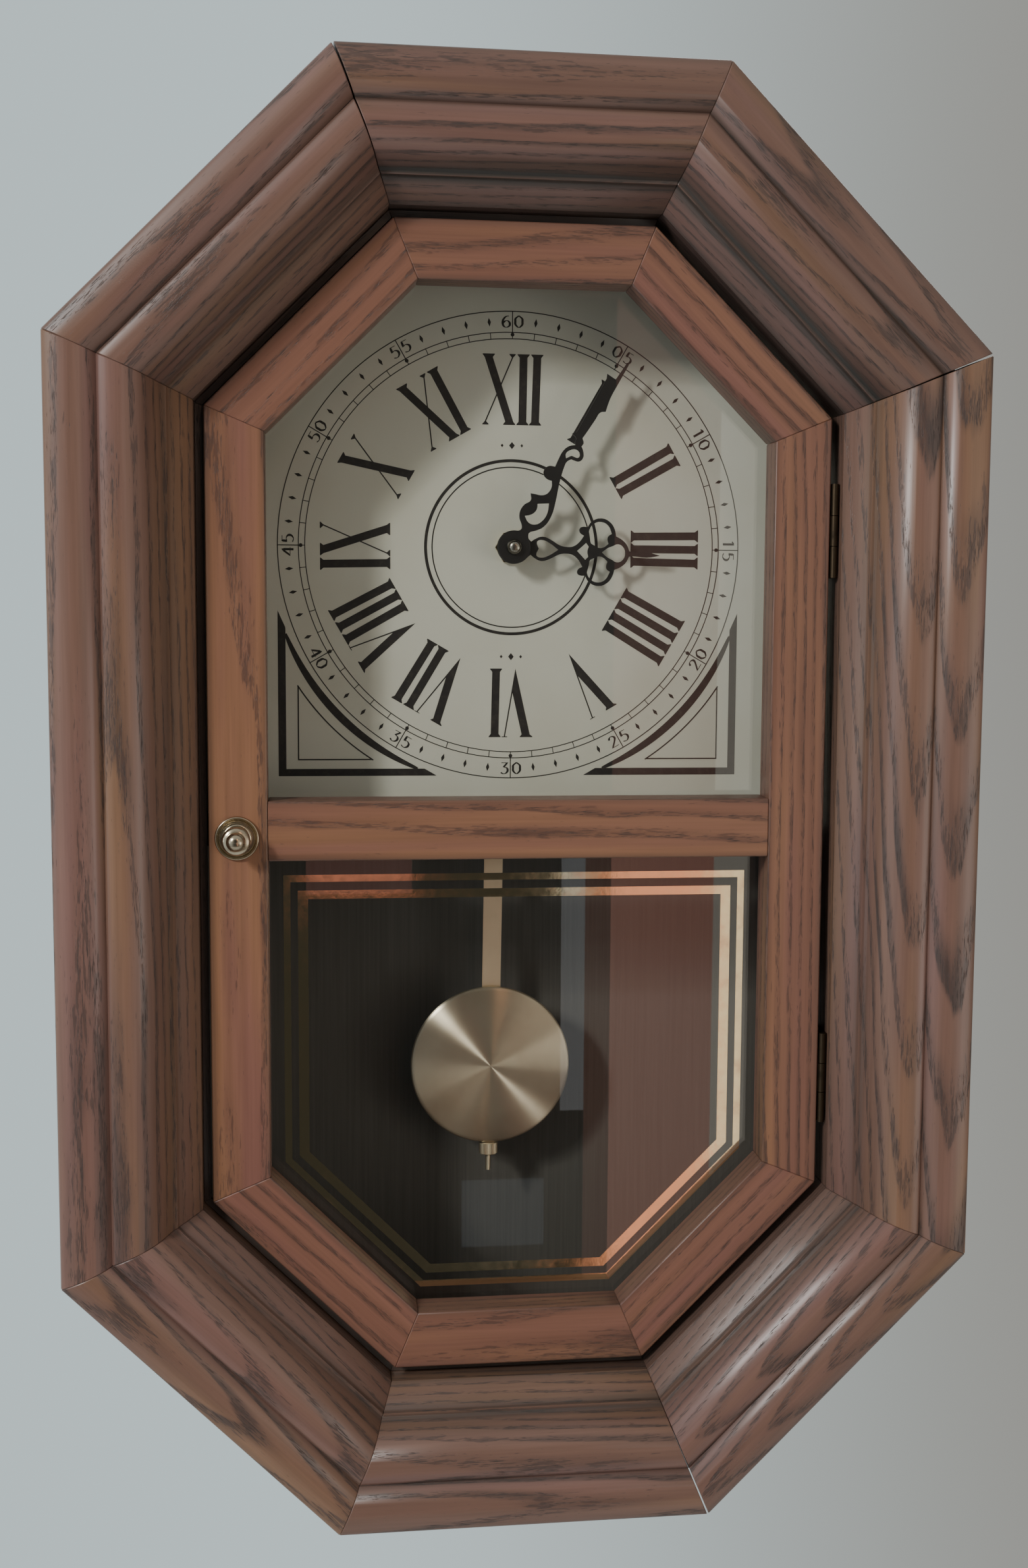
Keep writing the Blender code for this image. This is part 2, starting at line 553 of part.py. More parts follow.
def make_minute_hand():
    angle = math.radians(MINUTES_PAST_THREE * 6)
    left = [(6.2, -3.3, "corner"), (8.2, -1.6), (9.9, -2.4), (11.8, -4.7), (14.6, -6.2), (18.2, -6.1),
            (21.2, -4.7), (23.7, -6.4, "corner"), (24.6, -4.4), (25.3, -2.4), (26.9, -0.5), (29.0, 0.2),
            (31.4, -0.1), (33.4, -1.4, "corner"), (32.9, -3.4), (33.8, -5.9), (36.0, -6.8), (38.2, -5.9),
            (39.4, -3.4, "corner"), (43.0, -3.9), (47.2, -4.1), (50.3, -3.0), (52.2, -0.9, "corner"),
            (53.3, -1.8), (54.8, -2.0), (55.6, -4.9, "corner"), (57.0, -3.4, "corner"),
            (84.2, -4.6, "corner"), (86.0, -5.5, "corner"), (86.0, -1.0, "corner"), (94.6, -0.6, "corner")]
    right = [(94.6, 0.5, "corner"), (83.6, 1.0), (78.2, 1.3), (74.6, 2.0), (71.8, 2.7, "corner"),
             (70.2, 0.9), (66.6, 0.7), (59.3, 0.4), (56.4, 0.2, "corner"), (54.8, 1.8),
             (53.2, 1.7, "corner"), (51.6, 3.7), (49.3, 5.0), (47.1, 4.4), (46.3, 2.4),
             (46.0, 0.9, "corner"), (44.0, -0.2), (41.2, 0.1), (37.6, 1.0), (33.2, 2.4), (26.6, 4.9),
             (19.8, 6.7), (14.2, 6.2), (11.0, 4.1), (8.6, 2.2), (6.4, 3.3, "corner")]
    hub = hub_arc(HUB_RADIUS_MM, 28, 332, 17)
    upper_hole = [(45.1, -1.3, "corner"), (46.6, -2.4), (49.0, -1.7), (50.8, 0.6), (49.9, 3.0),
                  (48.2, 3.1), (47.6, 1.6), (47.3, 0.2), (46.2, -0.6)]
    lower_hole = [(21.5, -1.4, "corner"), (24.4, 2.8, "corner"), (20.4, 4.5), (16.0, 4.3), (13.2, 2.5),
                  (12.4, -0.4), (14.0, -3.4, "corner"), (15.6, -1.6), (18.0, -0.4), (20.0, -0.6)]
    outlines = [left + right + hub, upper_hole, lower_hole]
    make_hand("minute_hand", outlines, angle, MINUTE_BORE_RADIUS, MINUTE_HAND_Y)


# ---------------------------------------------------------------- movement
ARBOR_RADIUS = 0.0016
HOUR_PIPE_RADIUS = 0.0025
HOUR_BORE = 0.0018
ROTOR_MAGNET_RADIUS = 0.0035
MOTION_MODULE = 0.0005
GOING_MODULE = 0.00035
ROTOR_MODULE = 0.0003
CANNON_TEETH, MINUTE_WHEEL_TEETH = 10, 30
MINUTE_PINION_TEETH, HOUR_WHEEL_TEETH = 8, 32
CENTRE_WHEEL_TEETH, THIRD_PINION_TEETH = 64, 8
THIRD_WHEEL_TEETH, ROTOR_PINION_TEETH = 60, 10
MESH_SLACK = 0.00008


def mesh_distance(module, teeth, other_teeth):
    return module * (teeth + other_teeth) / 2 + MESH_SLACK


THIRD_TURN = math.radians(200)                    # where the third wheel stands from the centre
MINUTE_DISTANCE = mesh_distance(MOTION_MODULE, CANNON_TEETH, MINUTE_WHEEL_TEETH)
THIRD_DISTANCE = mesh_distance(GOING_MODULE, CENTRE_WHEEL_TEETH, THIRD_PINION_TEETH)
ROTOR_DISTANCE = mesh_distance(ROTOR_MODULE, THIRD_WHEEL_TEETH, ROTOR_PINION_TEETH)
CENTRE_AXIS = Vector((0, DIAL_CENTRE_Z))
MINUTE_AXIS = CENTRE_AXIS - Vector((0, MINUTE_DISTANCE))
THIRD_AXIS = CENTRE_AXIS + THIRD_DISTANCE * Vector((math.cos(THIRD_TURN), math.sin(THIRD_TURN)))
ROTOR_AXIS = THIRD_AXIS - Vector((ROTOR_DISTANCE, 0))
MINUTE_POST_RADIUS = 0.001
THIRD_POST_RADIUS = 0.0007
ROTOR_POST_RADIUS = 0.0006
RUNNING_CLEARANCE = 0.00008
# front and back of each thing on the axes
ARBOR_Y = (-0.0606, -0.0080)
CANNON_Y = (-0.0352, -0.0334)
CENTRE_WHEEL_Y = (-0.0320, -0.0308)
MINUTE_WHEEL_Y = (-0.0350, -0.0338)
MINUTE_PINION_Y = (-0.0378, -0.0345)
HOUR_WHEEL_Y = (-0.0374, -0.0362)
HOUR_PIPE_Y = (-0.0563, -0.0366)
THIRD_WHEEL_Y = (-0.0290, -0.0278)
THIRD_PINION_Y = (-0.0325, -0.0285)
ROTOR_Y = (-0.0265, -0.0215)
ROTOR_PINION_Y = (-0.0294, -0.0260)
THROUGH_Y = (-0.0650, -0.0050)


def gear_outline(teeth, module, centre, tooth_at):
    """Outline of a toothed wheel with one tooth pointing at the angle tooth_at (radians from +X)."""
    pitch_radius = module * teeth / 2
    root, tip = pitch_radius - 0.95 * module, pitch_radius + 0.75 * module
    step = 2 * math.pi / teeth
    points = []
    for number in range(teeth):
        middle = tooth_at + number * step
        for share, radius in ((-0.25, root), (-0.11, tip), (0.11, tip), (0.25, root)):
            turn = middle + share * step
            points.append((centre[0] + radius * math.cos(turn), centre[1] + radius * math.sin(turn)))
    return points


def gap_at(angle, teeth):
    """Where a tooth stands so that a gap faces the angle."""
    return angle + math.pi / teeth


def make_train():
    down = -math.pi / 2
    up = math.pi / 2
    arbor = rod_along_y("centre_wheel", ARBOR_RADIUS, *ARBOR_Y, *CENTRE_AXIS, finish=BRASS, segments=20)
    cannon_teeth = gear_outline(CANNON_TEETH, MOTION_MODULE, CENTRE_AXIS, down)
    wheel_teeth = gear_outline(CENTRE_WHEEL_TEETH, GOING_MODULE, CENTRE_AXIS, THIRD_TURN)
    join(arbor, plate("cannon_pinion_teeth", [cannon_teeth], *CANNON_Y),
         plate("centre_wheel_teeth", [wheel_teeth], *CENTRE_WHEEL_Y))

    teeth = gear_outline(MINUTE_WHEEL_TEETH, MOTION_MODULE, MINUTE_AXIS, gap_at(up, MINUTE_WHEEL_TEETH))
    minute = plate("minute_wheel", [teeth], *MINUTE_WHEEL_Y, BRASS)
    teeth = gear_outline(MINUTE_PINION_TEETH, MOTION_MODULE, MINUTE_AXIS, gap_at(up, MINUTE_PINION_TEETH))
    join(minute, plate("minute_pinion_teeth", [teeth], *MINUTE_PINION_Y))
    bore_radius = MINUTE_POST_RADIUS + RUNNING_CLEARANCE
    cut(minute, rod_along_y("minute_wheel_bore", bore_radius, *THROUGH_Y, *MINUTE_AXIS, segments=20))

    teeth = gear_outline(HOUR_WHEEL_TEETH, MOTION_MODULE, CENTRE_AXIS, down)
    hour = plate("hour_wheel", [teeth], *HOUR_WHEEL_Y, BRASS)
    join(hour, rod_along_y("hour_pipe", HOUR_PIPE_RADIUS, *HOUR_PIPE_Y, *CENTRE_AXIS))
    cut(hour, rod_along_y("hour_wheel_bore", HOUR_BORE, *THROUGH_Y, *CENTRE_AXIS, segments=20))

    teeth = gear_outline(THIRD_WHEEL_TEETH, ROTOR_MODULE, THIRD_AXIS, math.pi)
    third = plate("third_wheel", [teeth], *THIRD_WHEEL_Y, BRASS)
    facing_centre = gap_at(THIRD_TURN + math.pi, THIRD_PINION_TEETH)
    teeth = gear_outline(THIRD_PINION_TEETH, GOING_MODULE, THIRD_AXIS, facing_centre)
    join(third, plate("third_pinion_teeth", [teeth], *THIRD_PINION_Y))
    bore_radius = THIRD_POST_RADIUS + RUNNING_CLEARANCE
    cut(third, rod_along_y("third_wheel_bore", bore_radius, *THROUGH_Y, *THIRD_AXIS, segments=16))

    rotor = rod_along_y("rotor", ROTOR_MAGNET_RADIUS, *ROTOR_Y, *ROTOR_AXIS, finish=STEEL, segments=24)
    teeth = gear_outline(ROTOR_PINION_TEETH, ROTOR_MODULE, ROTOR_AXIS, gap_at(0, ROTOR_PINION_TEETH))
    join(rotor, plate("rotor_pinion_teeth", [teeth], *ROTOR_PINION_Y))
    bore_radius = ROTOR_POST_RADIUS + RUNNING_CLEARANCE
    cut(rotor, rod_along_y("rotor_bore", bore_radius, *THROUGH_Y, *ROTOR_AXIS, segments=16))


BUSHING_RADIUS = 0.005
BUSHING_FRONT_Y = -0.0515
BUSHING_BORE = 0.00268
POSTS_BACK_Y = {"minute_post": -0.0334, "third_post": -0.0272, "rotor_post": -0.0208}
LUG_HALF_WIDTH = 0.0050
LUG_BOTTOM = 0.0560
LUG_Y = ((-0.0345, -0.0325), (-0.0275, -0.0255))
PIVOT_HOLE_RADIUS = 0.0013


def make_movement_case():
    low = Vector((-MOVEMENT_HALF_WIDTH, MOVEMENT_FRONT_Y, MOVEMENT_BOTTOM))
    high = Vector((MOVEMENT_HALF_WIDTH, MOVEMENT_BACK_Y, MOVEMENT_TOP))
    case = box("movement_case", low, high, BLACK_PLASTIC)
    wall = Vector((MOVEMENT_WALL, MOVEMENT_WALL, MOVEMENT_WALL))
    open_back = Vector((-MOVEMENT_WALL, 0.01, -MOVEMENT_WALL))
    cut(case, box("movement_hollow", low + wall, high + open_back))
    sunk = 0.0008
    foot_y = MOVEMENT_FRONT_Y + MOVEMENT_WALL - sunk
    bushing = rod_along_y("movement_bushing", BUSHING_RADIUS, BUSHING_FRONT_Y, foot_y, *CENTRE_AXIS)
    minute_post = rod_along_y("minute_post", MINUTE_POST_RADIUS, foot_y, POSTS_BACK_Y["minute_post"],
                              *MINUTE_AXIS, segments=20)
    third_post = rod_along_y("third_post", THIRD_POST_RADIUS, foot_y, POSTS_BACK_Y["third_post"],
                             *THIRD_AXIS, segments=16)
    rotor_post = rod_along_y("rotor_post", ROTOR_POST_RADIUS, foot_y, POSTS_BACK_Y["rotor_post"],
                             *ROTOR_AXIS, segments=16)
    lugs = []
    for number, (y_front, y_back) in enumerate(LUG_Y):
        lugs.append(box("pendulum_lug_%d" % number, (PENDULUM_X - LUG_HALF_WIDTH, y_front, LUG_BOTTOM),
                        (PENDULUM_X + LUG_HALF_WIDTH, y_back, MOVEMENT_BOTTOM + sunk)))
    join(case, bushing, minute_post, third_post, rotor_post, *lugs)
    past = 0.005
    shaft_hole = rod_along_y("bushing_bore", BUSHING_BORE, BUSHING_FRONT_Y - past, foot_y + past, *CENTRE_AXIS)
    pivot_hole = rod_along_y("pendulum_pivot_hole", PIVOT_HOLE_RADIUS, LUG_Y[0][0] - past,
                             LUG_Y[1][1] + past, PENDULUM_X, PENDULUM_PIVOT_Z, segments=16)
    cut(case, shaft_hole, pivot_hole)


BATTERY_RADIUS = 0.0071
BATTERY_CENTRE = (0.022, -0.0262, 0.0815)
BATTERY_LENGTH = 0.050
BAY_MARGIN = 0.002
BAY_HALF_HEIGHT = 0.0085
SPEAKER_X, SPEAKER_Z = 0.034, 0.1235
SPEAKER_FRONT_Y = -0.0222
GRILLE_RADIUS = 0.0155
GRILLE_PITCH = 0.0042
GRILLE_HALF_SLOT = 0.0008
SWITCH_X = -0.040
SWITCH_Z = {"chime_switch": 0.133, "volume_switch": 0.120}
SWITCH_TRAVEL = 0.004
SWITCH_HALF_PLATE = 0.0035
SWITCH_PLATE_Y = (-0.0162, -0.0152)
SWITCH_STEM_Y = (-0.0156, -0.0105)
SWITCH_STEM = (0.0014, 0.0015)                    # half its width and half its height
COVER_THICKNESS = 0.0017
SET_SHAFT_HOLE = 0.0022


def make_movement_cover():
    y_front = MOVEMENT_BACK_Y + GAP
    y_back = y_front + COVER_THICKNESS
    cover = box("movement_cover", (-MOVEMENT_HALF_WIDTH, y_front, MOVEMENT_BOTTOM),
                (MOVEMENT_HALF_WIDTH, y_back, MOVEMENT_TOP), BLACK_PLASTIC)
    half_bay = BATTERY_LENGTH / 2 + BAY_MARGIN
    bay_x, bay_z = BATTERY_CENTRE[0], BATTERY_CENTRE[2]
    before, behind = y_front - 0.004, y_back + 0.004
    cutters = [box("battery_bay_cutter", (bay_x - half_bay, before, bay_z - BAY_HALF_HEIGHT),
                   (bay_x + half_bay, behind, bay_z + BAY_HALF_HEIGHT)),
               rod_along_y("set_shaft_hole", SET_SHAFT_HOLE, before, behind, *CENTRE_AXIS)]
    for number in range(-3, 4):
        rise = GRILLE_PITCH * number
        half = math.sqrt(GRILLE_RADIUS ** 2 - rise ** 2)
        cutters.append(box("grille_slot_%d" % (number + 3),
                           (SPEAKER_X - half, before, SPEAKER_Z + rise - GRILLE_HALF_SLOT),
                           (SPEAKER_X + half, behind, SPEAKER_Z + rise + GRILLE_HALF_SLOT)))
    stem_half_width, stem_half_height = SWITCH_STEM
    play = 0.0004
    slot_left = SWITCH_X - stem_half_width - play
    slot_right = SWITCH_X + SWITCH_TRAVEL + stem_half_width + play
    slot_half_height = stem_half_height + play
    for name, z in SWITCH_Z.items():
        cutters.append(box(name + "_slot", (slot_left, before, z - slot_half_height),
                           (slot_right, behind, z + slot_half_height)))
    cut(cover, *cutters)
    for name, z in SWITCH_Z.items():
        slider = box(name, (SWITCH_X - SWITCH_HALF_PLATE, SWITCH_PLATE_Y[0], z - SWITCH_HALF_PLATE),
                     (SWITCH_X + SWITCH_HALF_PLATE, SWITCH_PLATE_Y[1], z + SWITCH_HALF_PLATE), WHITE_PLASTIC)
        join(slider, box(name + "_stem",
                         (SWITCH_X - stem_half_width, SWITCH_STEM_Y[0], z - stem_half_height),
                         (SWITCH_X + stem_half_width, SWITCH_STEM_Y[1], z + stem_half_height)))


def make_movement_fittings():
    hexagon = circle(0.0075, z=DIAL_CENTRE_Z, count=6)
    thread_hole = circle(0.0052, z=DIAL_CENTRE_Z, count=24)
    dial_nut_front = -0.0489
    plate("dial_nut", [hexagon, thread_hole], dial_nut_front, DIAL_FRONT_Y - GAP, BRASS)
    hand_nut_profile = [(0.0, 0.0030), (0.0014, 0.0028), (0.0026, 0.0020), (0.0034, 0.0008), (0.0035, 0.0),
                        (0.00175, 0.0), (0.00175, 0.0012), (0.0, 0.0012)]
    hand_nut_y = -0.0595
    turned("hand_nut", hand_nut_profile, (0, hand_nut_y, DIAL_CENTRE_Z), BRASS, steps=24)
    set_knob_profile = [(0.00175, 0.0), (0.0060, 0.0), (0.0065, -0.0005), (0.0065, -0.0055),
                        (0.0060, -0.0060), (0.00175, -0.0060)]
    set_knob_y = -0.0122
    turned("set_knob", set_knob_profile, (0, set_knob_y, DIAL_CENTRE_Z), WHITE_PLASTIC, steps=24)
    half_battery = BATTERY_LENGTH / 2
    battery = rod_along_y("battery", BATTERY_RADIUS, -half_battery, half_battery, finish=BATTERY_JACKET)
    battery.data.transform(Matrix.Rotation(math.pi / 2, 4, "Z"))
    battery.location = BATTERY_CENTRE
    spool_profile = [(0.0048, 0.012), (0.0048, 0.0108), (0.0038, 0.0108), (0.0038, -0.0108),
                     (0.0048, -0.0108), (0.0048, -0.012), (0.0015, -0.012), (0.0015, 0.012)]
    coil = turned("drive_coil", spool_profile, (-0.036, -0.0270, 0.0900), COPPER, axis="UP", steps=24)
    coil.rotation_euler = (0, math.pi / 2, 0)
    speaker_profile = [(0.0, 0.0), (0.0170, 0.0), (0.0175, -0.0012), (0.0175, -0.0030), (0.0110, -0.0066),
                       (0.0, -0.0066)]
    turned("speaker", speaker_profile, (SPEAKER_X, SPEAKER_FRONT_Y, SPEAKER_Z), BLACK_STEEL)


# ---------------------------------------------------------------- pendulum
PEG_Z = -0.0185                                   # these lengths are from the pivot down
STRIP_END_Z = -0.2115
STEM_END_Z = -0.2405
STRIP_Y = (0.0019, 0.0029)
STEM_Y = 0.0024
STEM_RADIUS = 0.0012
ROD_PLAY = 0.0004


def make_pendulum():
    """Hook, rod, bob and rating nut, all under one empty on the pivot that sets the swing."""
    pivot = bpy.data.objects.new("pendulum_pivot", None)
    collection(PARTS).objects.link(pivot)
    pivot.location = (PENDULUM_X, PENDULUM_Y, PENDULUM_PIVOT_Z)
    pivot.rotation_euler = (0, PENDULUM_TILT, 0)
    for piece in make_hook() + make_rod() + make_bob():
        piece.parent = pivot


def make_hook():
    hook = box("pendulum_hook", (-0.0035, -0.0015, -0.0235), (0.0035, 0.0015, 0.0040), BLACK_PLASTIC)
    pin = rod_along_y("pendulum_pin", 0.0012, -0.0043, 0.0043, segments=16)
    peg = rod_along_y("hook_peg", 0.0012, 0.0010, 0.0039, z=PEG_Z, segments=16)
    peg_head = rod_along_y("hook_peg_head", 0.0022, 0.0034, 0.0042, z=PEG_Z, segments=16)
    join(hook, pin, peg, peg_head)
    return [hook, pin, peg, peg_head]


def make_rod():
    half = ROD_WIDTH / 2
    chamfer = 0.002
    shoulder, top = PEG_Z + 0.004, PEG_Z + 0.006
    strip = [(-half, STRIP_END_Z), (half, STRIP_END_Z), (half, shoulder), (half - chamfer, top),
             (-half + chamfer, top), (-half, shoulder)]
    eye = circle(0.00145, z=PEG_Z, count=16)
    rod = plate("pendulum_rod", [strip, eye], *STRIP_Y, BRASS)
    stem = rod_along_z("rod_stem", STEM_RADIUS, STEM_END_Z, STRIP_END_Z + 0.003, y=STEM_Y, segments=12)
    join(rod, stem)
    return [rod, stem]


def make_bob():
    rim, edge = BOB_RADIUS - 0.0006, BOB_RADIUS
    profile = [(0.0, 0.0048), (0.0120, 0.0046), (0.0240, 0.0040), (0.0340, 0.0029), (rim, 0.0024),
               (edge, 0.0017), (edge, 0.0006), (rim, 0.0), (0.0, 0.0)]
    bob = turned("pendulum_bob", profile, (0, 0.0010, -BOB_DROP), BRASS, steps=48)
    strap_half_width, strap_half_height, strap_front, strap_back = 0.0075, 0.006, 0.0006, 0.0047
    strap = box("bob_strap", (-strap_half_width, strap_front, -BOB_DROP - strap_half_height),
                (strap_half_width, strap_back, -BOB_DROP + strap_half_height))
    channel_half = ROD_WIDTH / 2 + ROD_PLAY
    channel_front, channel_back, past_strap = 0.0014, 0.0035, 0.01
    channel = box("bob_channel", (-channel_half, channel_front, -BOB_DROP - past_strap),
                  (channel_half, channel_back, -BOB_DROP + past_strap))
    join(bob, strap)
    cut(bob, channel)
    nut_profile = [(0.0014, 0.0), (0.0039, 0.0), (0.0044, -0.0006), (0.0044, -0.0052), (0.0039, -0.0058),
                   (0.0014, -0.0058)]
    nut_top = -BOB_DROP - BOB_RADIUS - GAP
    nut = turned("rating_nut", nut_profile, (0, STEM_Y, nut_top), BRASS, axis="UP", steps=24)
    return [bob, strap, channel, nut]


def main():
    clear_scene()
    make_case()
    make_door()
    make_knob()
    make_hinges()
    make_catch()
    make_hour_hand()
    make_minute_hand()
    make_train()
    make_movement_case()
    make_movement_cover()
    make_movement_fittings()
    make_pendulum()


main()
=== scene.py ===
"""Looks of the schoolhouse wall clock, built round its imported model. The wall side is +Y, the front -Y."""
import math

import bmesh
import bpy
from mathutils import Matrix, Vector


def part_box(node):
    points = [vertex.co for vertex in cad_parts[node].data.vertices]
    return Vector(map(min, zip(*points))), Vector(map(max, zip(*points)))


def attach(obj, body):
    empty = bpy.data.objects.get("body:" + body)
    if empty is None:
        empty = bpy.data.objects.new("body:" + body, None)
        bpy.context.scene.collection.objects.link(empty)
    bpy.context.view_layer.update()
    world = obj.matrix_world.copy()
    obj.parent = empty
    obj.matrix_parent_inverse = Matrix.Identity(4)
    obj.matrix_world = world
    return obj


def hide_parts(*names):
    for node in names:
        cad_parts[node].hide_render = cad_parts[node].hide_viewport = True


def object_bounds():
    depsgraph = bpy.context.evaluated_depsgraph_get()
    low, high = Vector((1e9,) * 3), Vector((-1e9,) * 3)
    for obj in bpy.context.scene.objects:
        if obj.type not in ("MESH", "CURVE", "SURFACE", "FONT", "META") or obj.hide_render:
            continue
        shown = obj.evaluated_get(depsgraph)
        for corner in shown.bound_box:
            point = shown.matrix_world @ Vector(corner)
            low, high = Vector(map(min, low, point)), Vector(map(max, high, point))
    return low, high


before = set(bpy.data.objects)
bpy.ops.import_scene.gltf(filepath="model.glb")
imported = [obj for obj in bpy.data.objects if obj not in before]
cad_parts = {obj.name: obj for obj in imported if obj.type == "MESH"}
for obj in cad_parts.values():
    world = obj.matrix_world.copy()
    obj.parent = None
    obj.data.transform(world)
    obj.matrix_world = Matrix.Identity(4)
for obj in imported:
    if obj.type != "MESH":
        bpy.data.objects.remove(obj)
cad_low, cad_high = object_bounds()

MM = 0.001
ROOT_TWO = math.sqrt(2)

# ---- sizes read from the frame
HALF_WIDTH = cad_high.x
HALF_HEIGHT = cad_high.z
CORNER_CUT = HALF_WIDTH * (2 - ROOT_TWO)
CREST_Y = cad_low.y
FRONT_Y = CREST_Y + 2.2 * MM  # plane of the moulding's outer silhouette
MITRE_GAP = 0.05 * MM


def centre_of(name):
    """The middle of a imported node's box, as x, y and z."""
    return [(low + high) / 2 for low, high in zip(*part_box(name))]


DIAL_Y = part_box("dial")[0].y
DIAL_CENTRE = Vector(centre_of("hand_nut")[::2])  # (x, z)
RING = 103.6  # outermost printed circle of the dial, mm

SIDES = ("top", "top_right", "right", "bottom_right", "bottom", "bottom_left", "left", "top_left")


# ---- node materials
class NodeTree:
    """Short ways to add shader nodes to a tree."""

    def __init__(self, tree):
        self.tree = tree

    def put(self, socket, value):
        if isinstance(value, bpy.types.NodeSocket):
            self.tree.links.new(value, socket)
        elif socket.type == "RGBA" and len(value) == 3:
            socket.default_value = (*value, 1.0)
        else:
            socket.default_value = value

    def node(self, kind, inputs=(), **settings):
        made = self.tree.nodes.new("ShaderNode" + kind)
        for key, value in settings.items():
            setattr(made, key, value)
        for key, value in dict(inputs).items():
            self.put(made.inputs[key], value)
        return made

    def math(self, operation, a, b=0.0, clamp=False):
        return self.node("Math", {0: a, 1: b}, operation=operation, use_clamp=clamp).outputs[0]

    def plus(self, a, b, clamp=False):
        return self.math("ADD", a, b, clamp)

    def minus(self, a, b):
        return self.math("SUBTRACT", a, b)

    def times(self, a, b, clamp=False):
        return self.math("MULTIPLY", a, b, clamp)

    def mix(self, share, a, b, blend="MIX"):
        return self.node("Mix", {0: share, 6: a, 7: b}, data_type="RGBA", blend_type=blend).outputs[2]

    def scaled(self, vector, scale):
        return self.node("VectorMath", {0: vector, 1: scale}, operation="MULTIPLY").outputs[0]

    def noise(self, vector, scale, detail=2.0, roughness=0.5):
        """Noise from 0 to 1. scale is features per metre, one number or one for each axis."""
        if not isinstance(scale, tuple):
            scale = (scale, scale, scale)
        return self.node("TexNoise", {"Vector": self.scaled(vector, scale), "Scale": 1.0, "Detail": detail,
                                      "Roughness": roughness}).outputs[0]

    def step(self, value, low, high):
        """0 below low, 1 above high, smooth between."""
        inputs = {0: value, 1: low, 2: high, 3: 0.0, 4: 1.0}
        return self.node("MapRange", inputs, interpolation_type="SMOOTHSTEP").outputs[0]

    def bump(self, height, distance, strength=1.0):
        return self.node("Bump", {"Height": height, "Distance": distance, "Strength": strength}).outputs[0]

    def attribute(self, name, output="Fac"):
        return self.node("Attribute", attribute_name=name).outputs[output]

    def place(self, output="Object"):
        return self.node("TexCoord").outputs[output]


class Surface(NodeTree):
    """A node material round a Principled shader. Its first constants stay on the shader's own sockets."""

    def __init__(self, name, **constants):
        self.material = bpy.data.materials.new(name)
        self.material.use_nodes = True
        super().__init__(self.material.node_tree)
        self.shader = self.tree.nodes["Principled BSDF"]
        self.finish(**constants)

    def finish(self, **sockets):
        for key, value in sockets.items():
            self.put(self.shader.inputs[key.replace("_", " ")], value)
        return self.material


def oak(name, brown, golden, rosy, fill, glaze_and_shade_colour, roughness=0.34):
    """Stained oak. Its grain runs along x of the piece's own "grain" coordinates (metres).

    "ring" is the depth across the growth rings in ring widths, "figure" how strongly they
    show, and "glaze_and_shade" how much dark glazing and painted shade lie on the surface,
    mixed towards glaze_and_shade_colour. fill is the dark stain that the open early wood takes up.
    """
    s = Surface(name)
    grain = s.attribute("grain", "Vector")
    warp = s.minus(s.noise(grain, (5, 32, 32), 2.0), 0.5)
    ripple = s.minus(s.noise(grain, (34, 210, 210), 2.0), 0.5)
    phase = s.plus(s.attribute("ring"), s.times(warp, 1.9))
    phase = s.plus(phase, s.times(ripple, 0.30))
    turn = s.math("FRACT", phase)
    early = s.times(s.step(turn, 0.0, 0.13), s.minus(1.0, s.step(turn, 0.22, 0.66)))
    stained = s.step(s.noise(grain, (11, 48, 48), 3.0), 0.42, 0.68)
    fill_share = s.times(early, s.plus(0.16, s.times(stained, 0.46)))
    fill_share = s.times(fill_share, s.attribute("figure"), True)

    streaks = s.noise(grain, (7, 250, 250), 3.0, 0.6)
    fibre = s.noise(grain, (24, 1000, 1000), 2.0, 0.6)
    pores = s.noise(grain, (170, 2500, 2500), 2.0, 0.6)
    pores = s.step(s.minus(pores, s.minus(0.70, s.times(early, 0.15))), 0.0, 0.07)
    flecks = s.noise(grain, (85, 820, 820), 2.0, 0.6)
    flecks = s.step(s.minus(flecks, s.minus(0.70, s.times(early, 0.22))), 0.0, 0.07)

    colour = s.mix(s.step(s.noise(grain, (3, 36, 36), 2.0), 0.44, 0.66), brown, golden)
    rosy_share = s.step(s.noise(s.scaled(grain, (1, -1, 1)), (4, 52, 52), 2.0), 0.46, 0.68)
    colour = s.mix(s.times(rosy_share, 0.8), colour, rosy)
    colour = s.mix(fill_share, colour, fill)
    shade = s.plus(s.times(streaks, 0.50), s.times(fibre, 0.26))
    shade = s.plus(shade, 0.62)
    colour = s.mix(1.0, colour, s.node("CombineColor", {0: shade, 1: shade, 2: shade}).outputs[0], "MULTIPLY")
    colour = s.mix(s.times(flecks, 0.60), colour, fill)
    colour = s.mix(s.times(pores, 0.62), colour, s.mix(0.6, fill, (0.0, 0.0, 0.0)))
    # Painted shade: this share darkens recesses, edges and some whole sides towards the dark colour, on top
    # of the real dark glazing.
    wiped = s.plus(0.55, s.times(s.noise(grain, (9, 170, 170), 3.0, 0.6), 0.90))
    glaze_and_shade = s.math("MINIMUM", s.times(s.attribute("glaze_and_shade"), wiped), 1.0)
    colour = s.mix(glaze_and_shade, colour, glaze_and_shade_colour)

    rough = s.plus(roughness - 0.04, s.times(pores, 0.22))
    rough = s.plus(rough, s.times(streaks, 0.08))
    rough = s.plus(rough, s.times(glaze_and_shade, 0.06))
    height = s.minus(s.times(fibre, 0.3), s.plus(pores, s.times(early, 0.2)))
    return s.finish(Base_Color=colour, Roughness=rough, Normal=s.bump(height, 0.00010, 0.5))


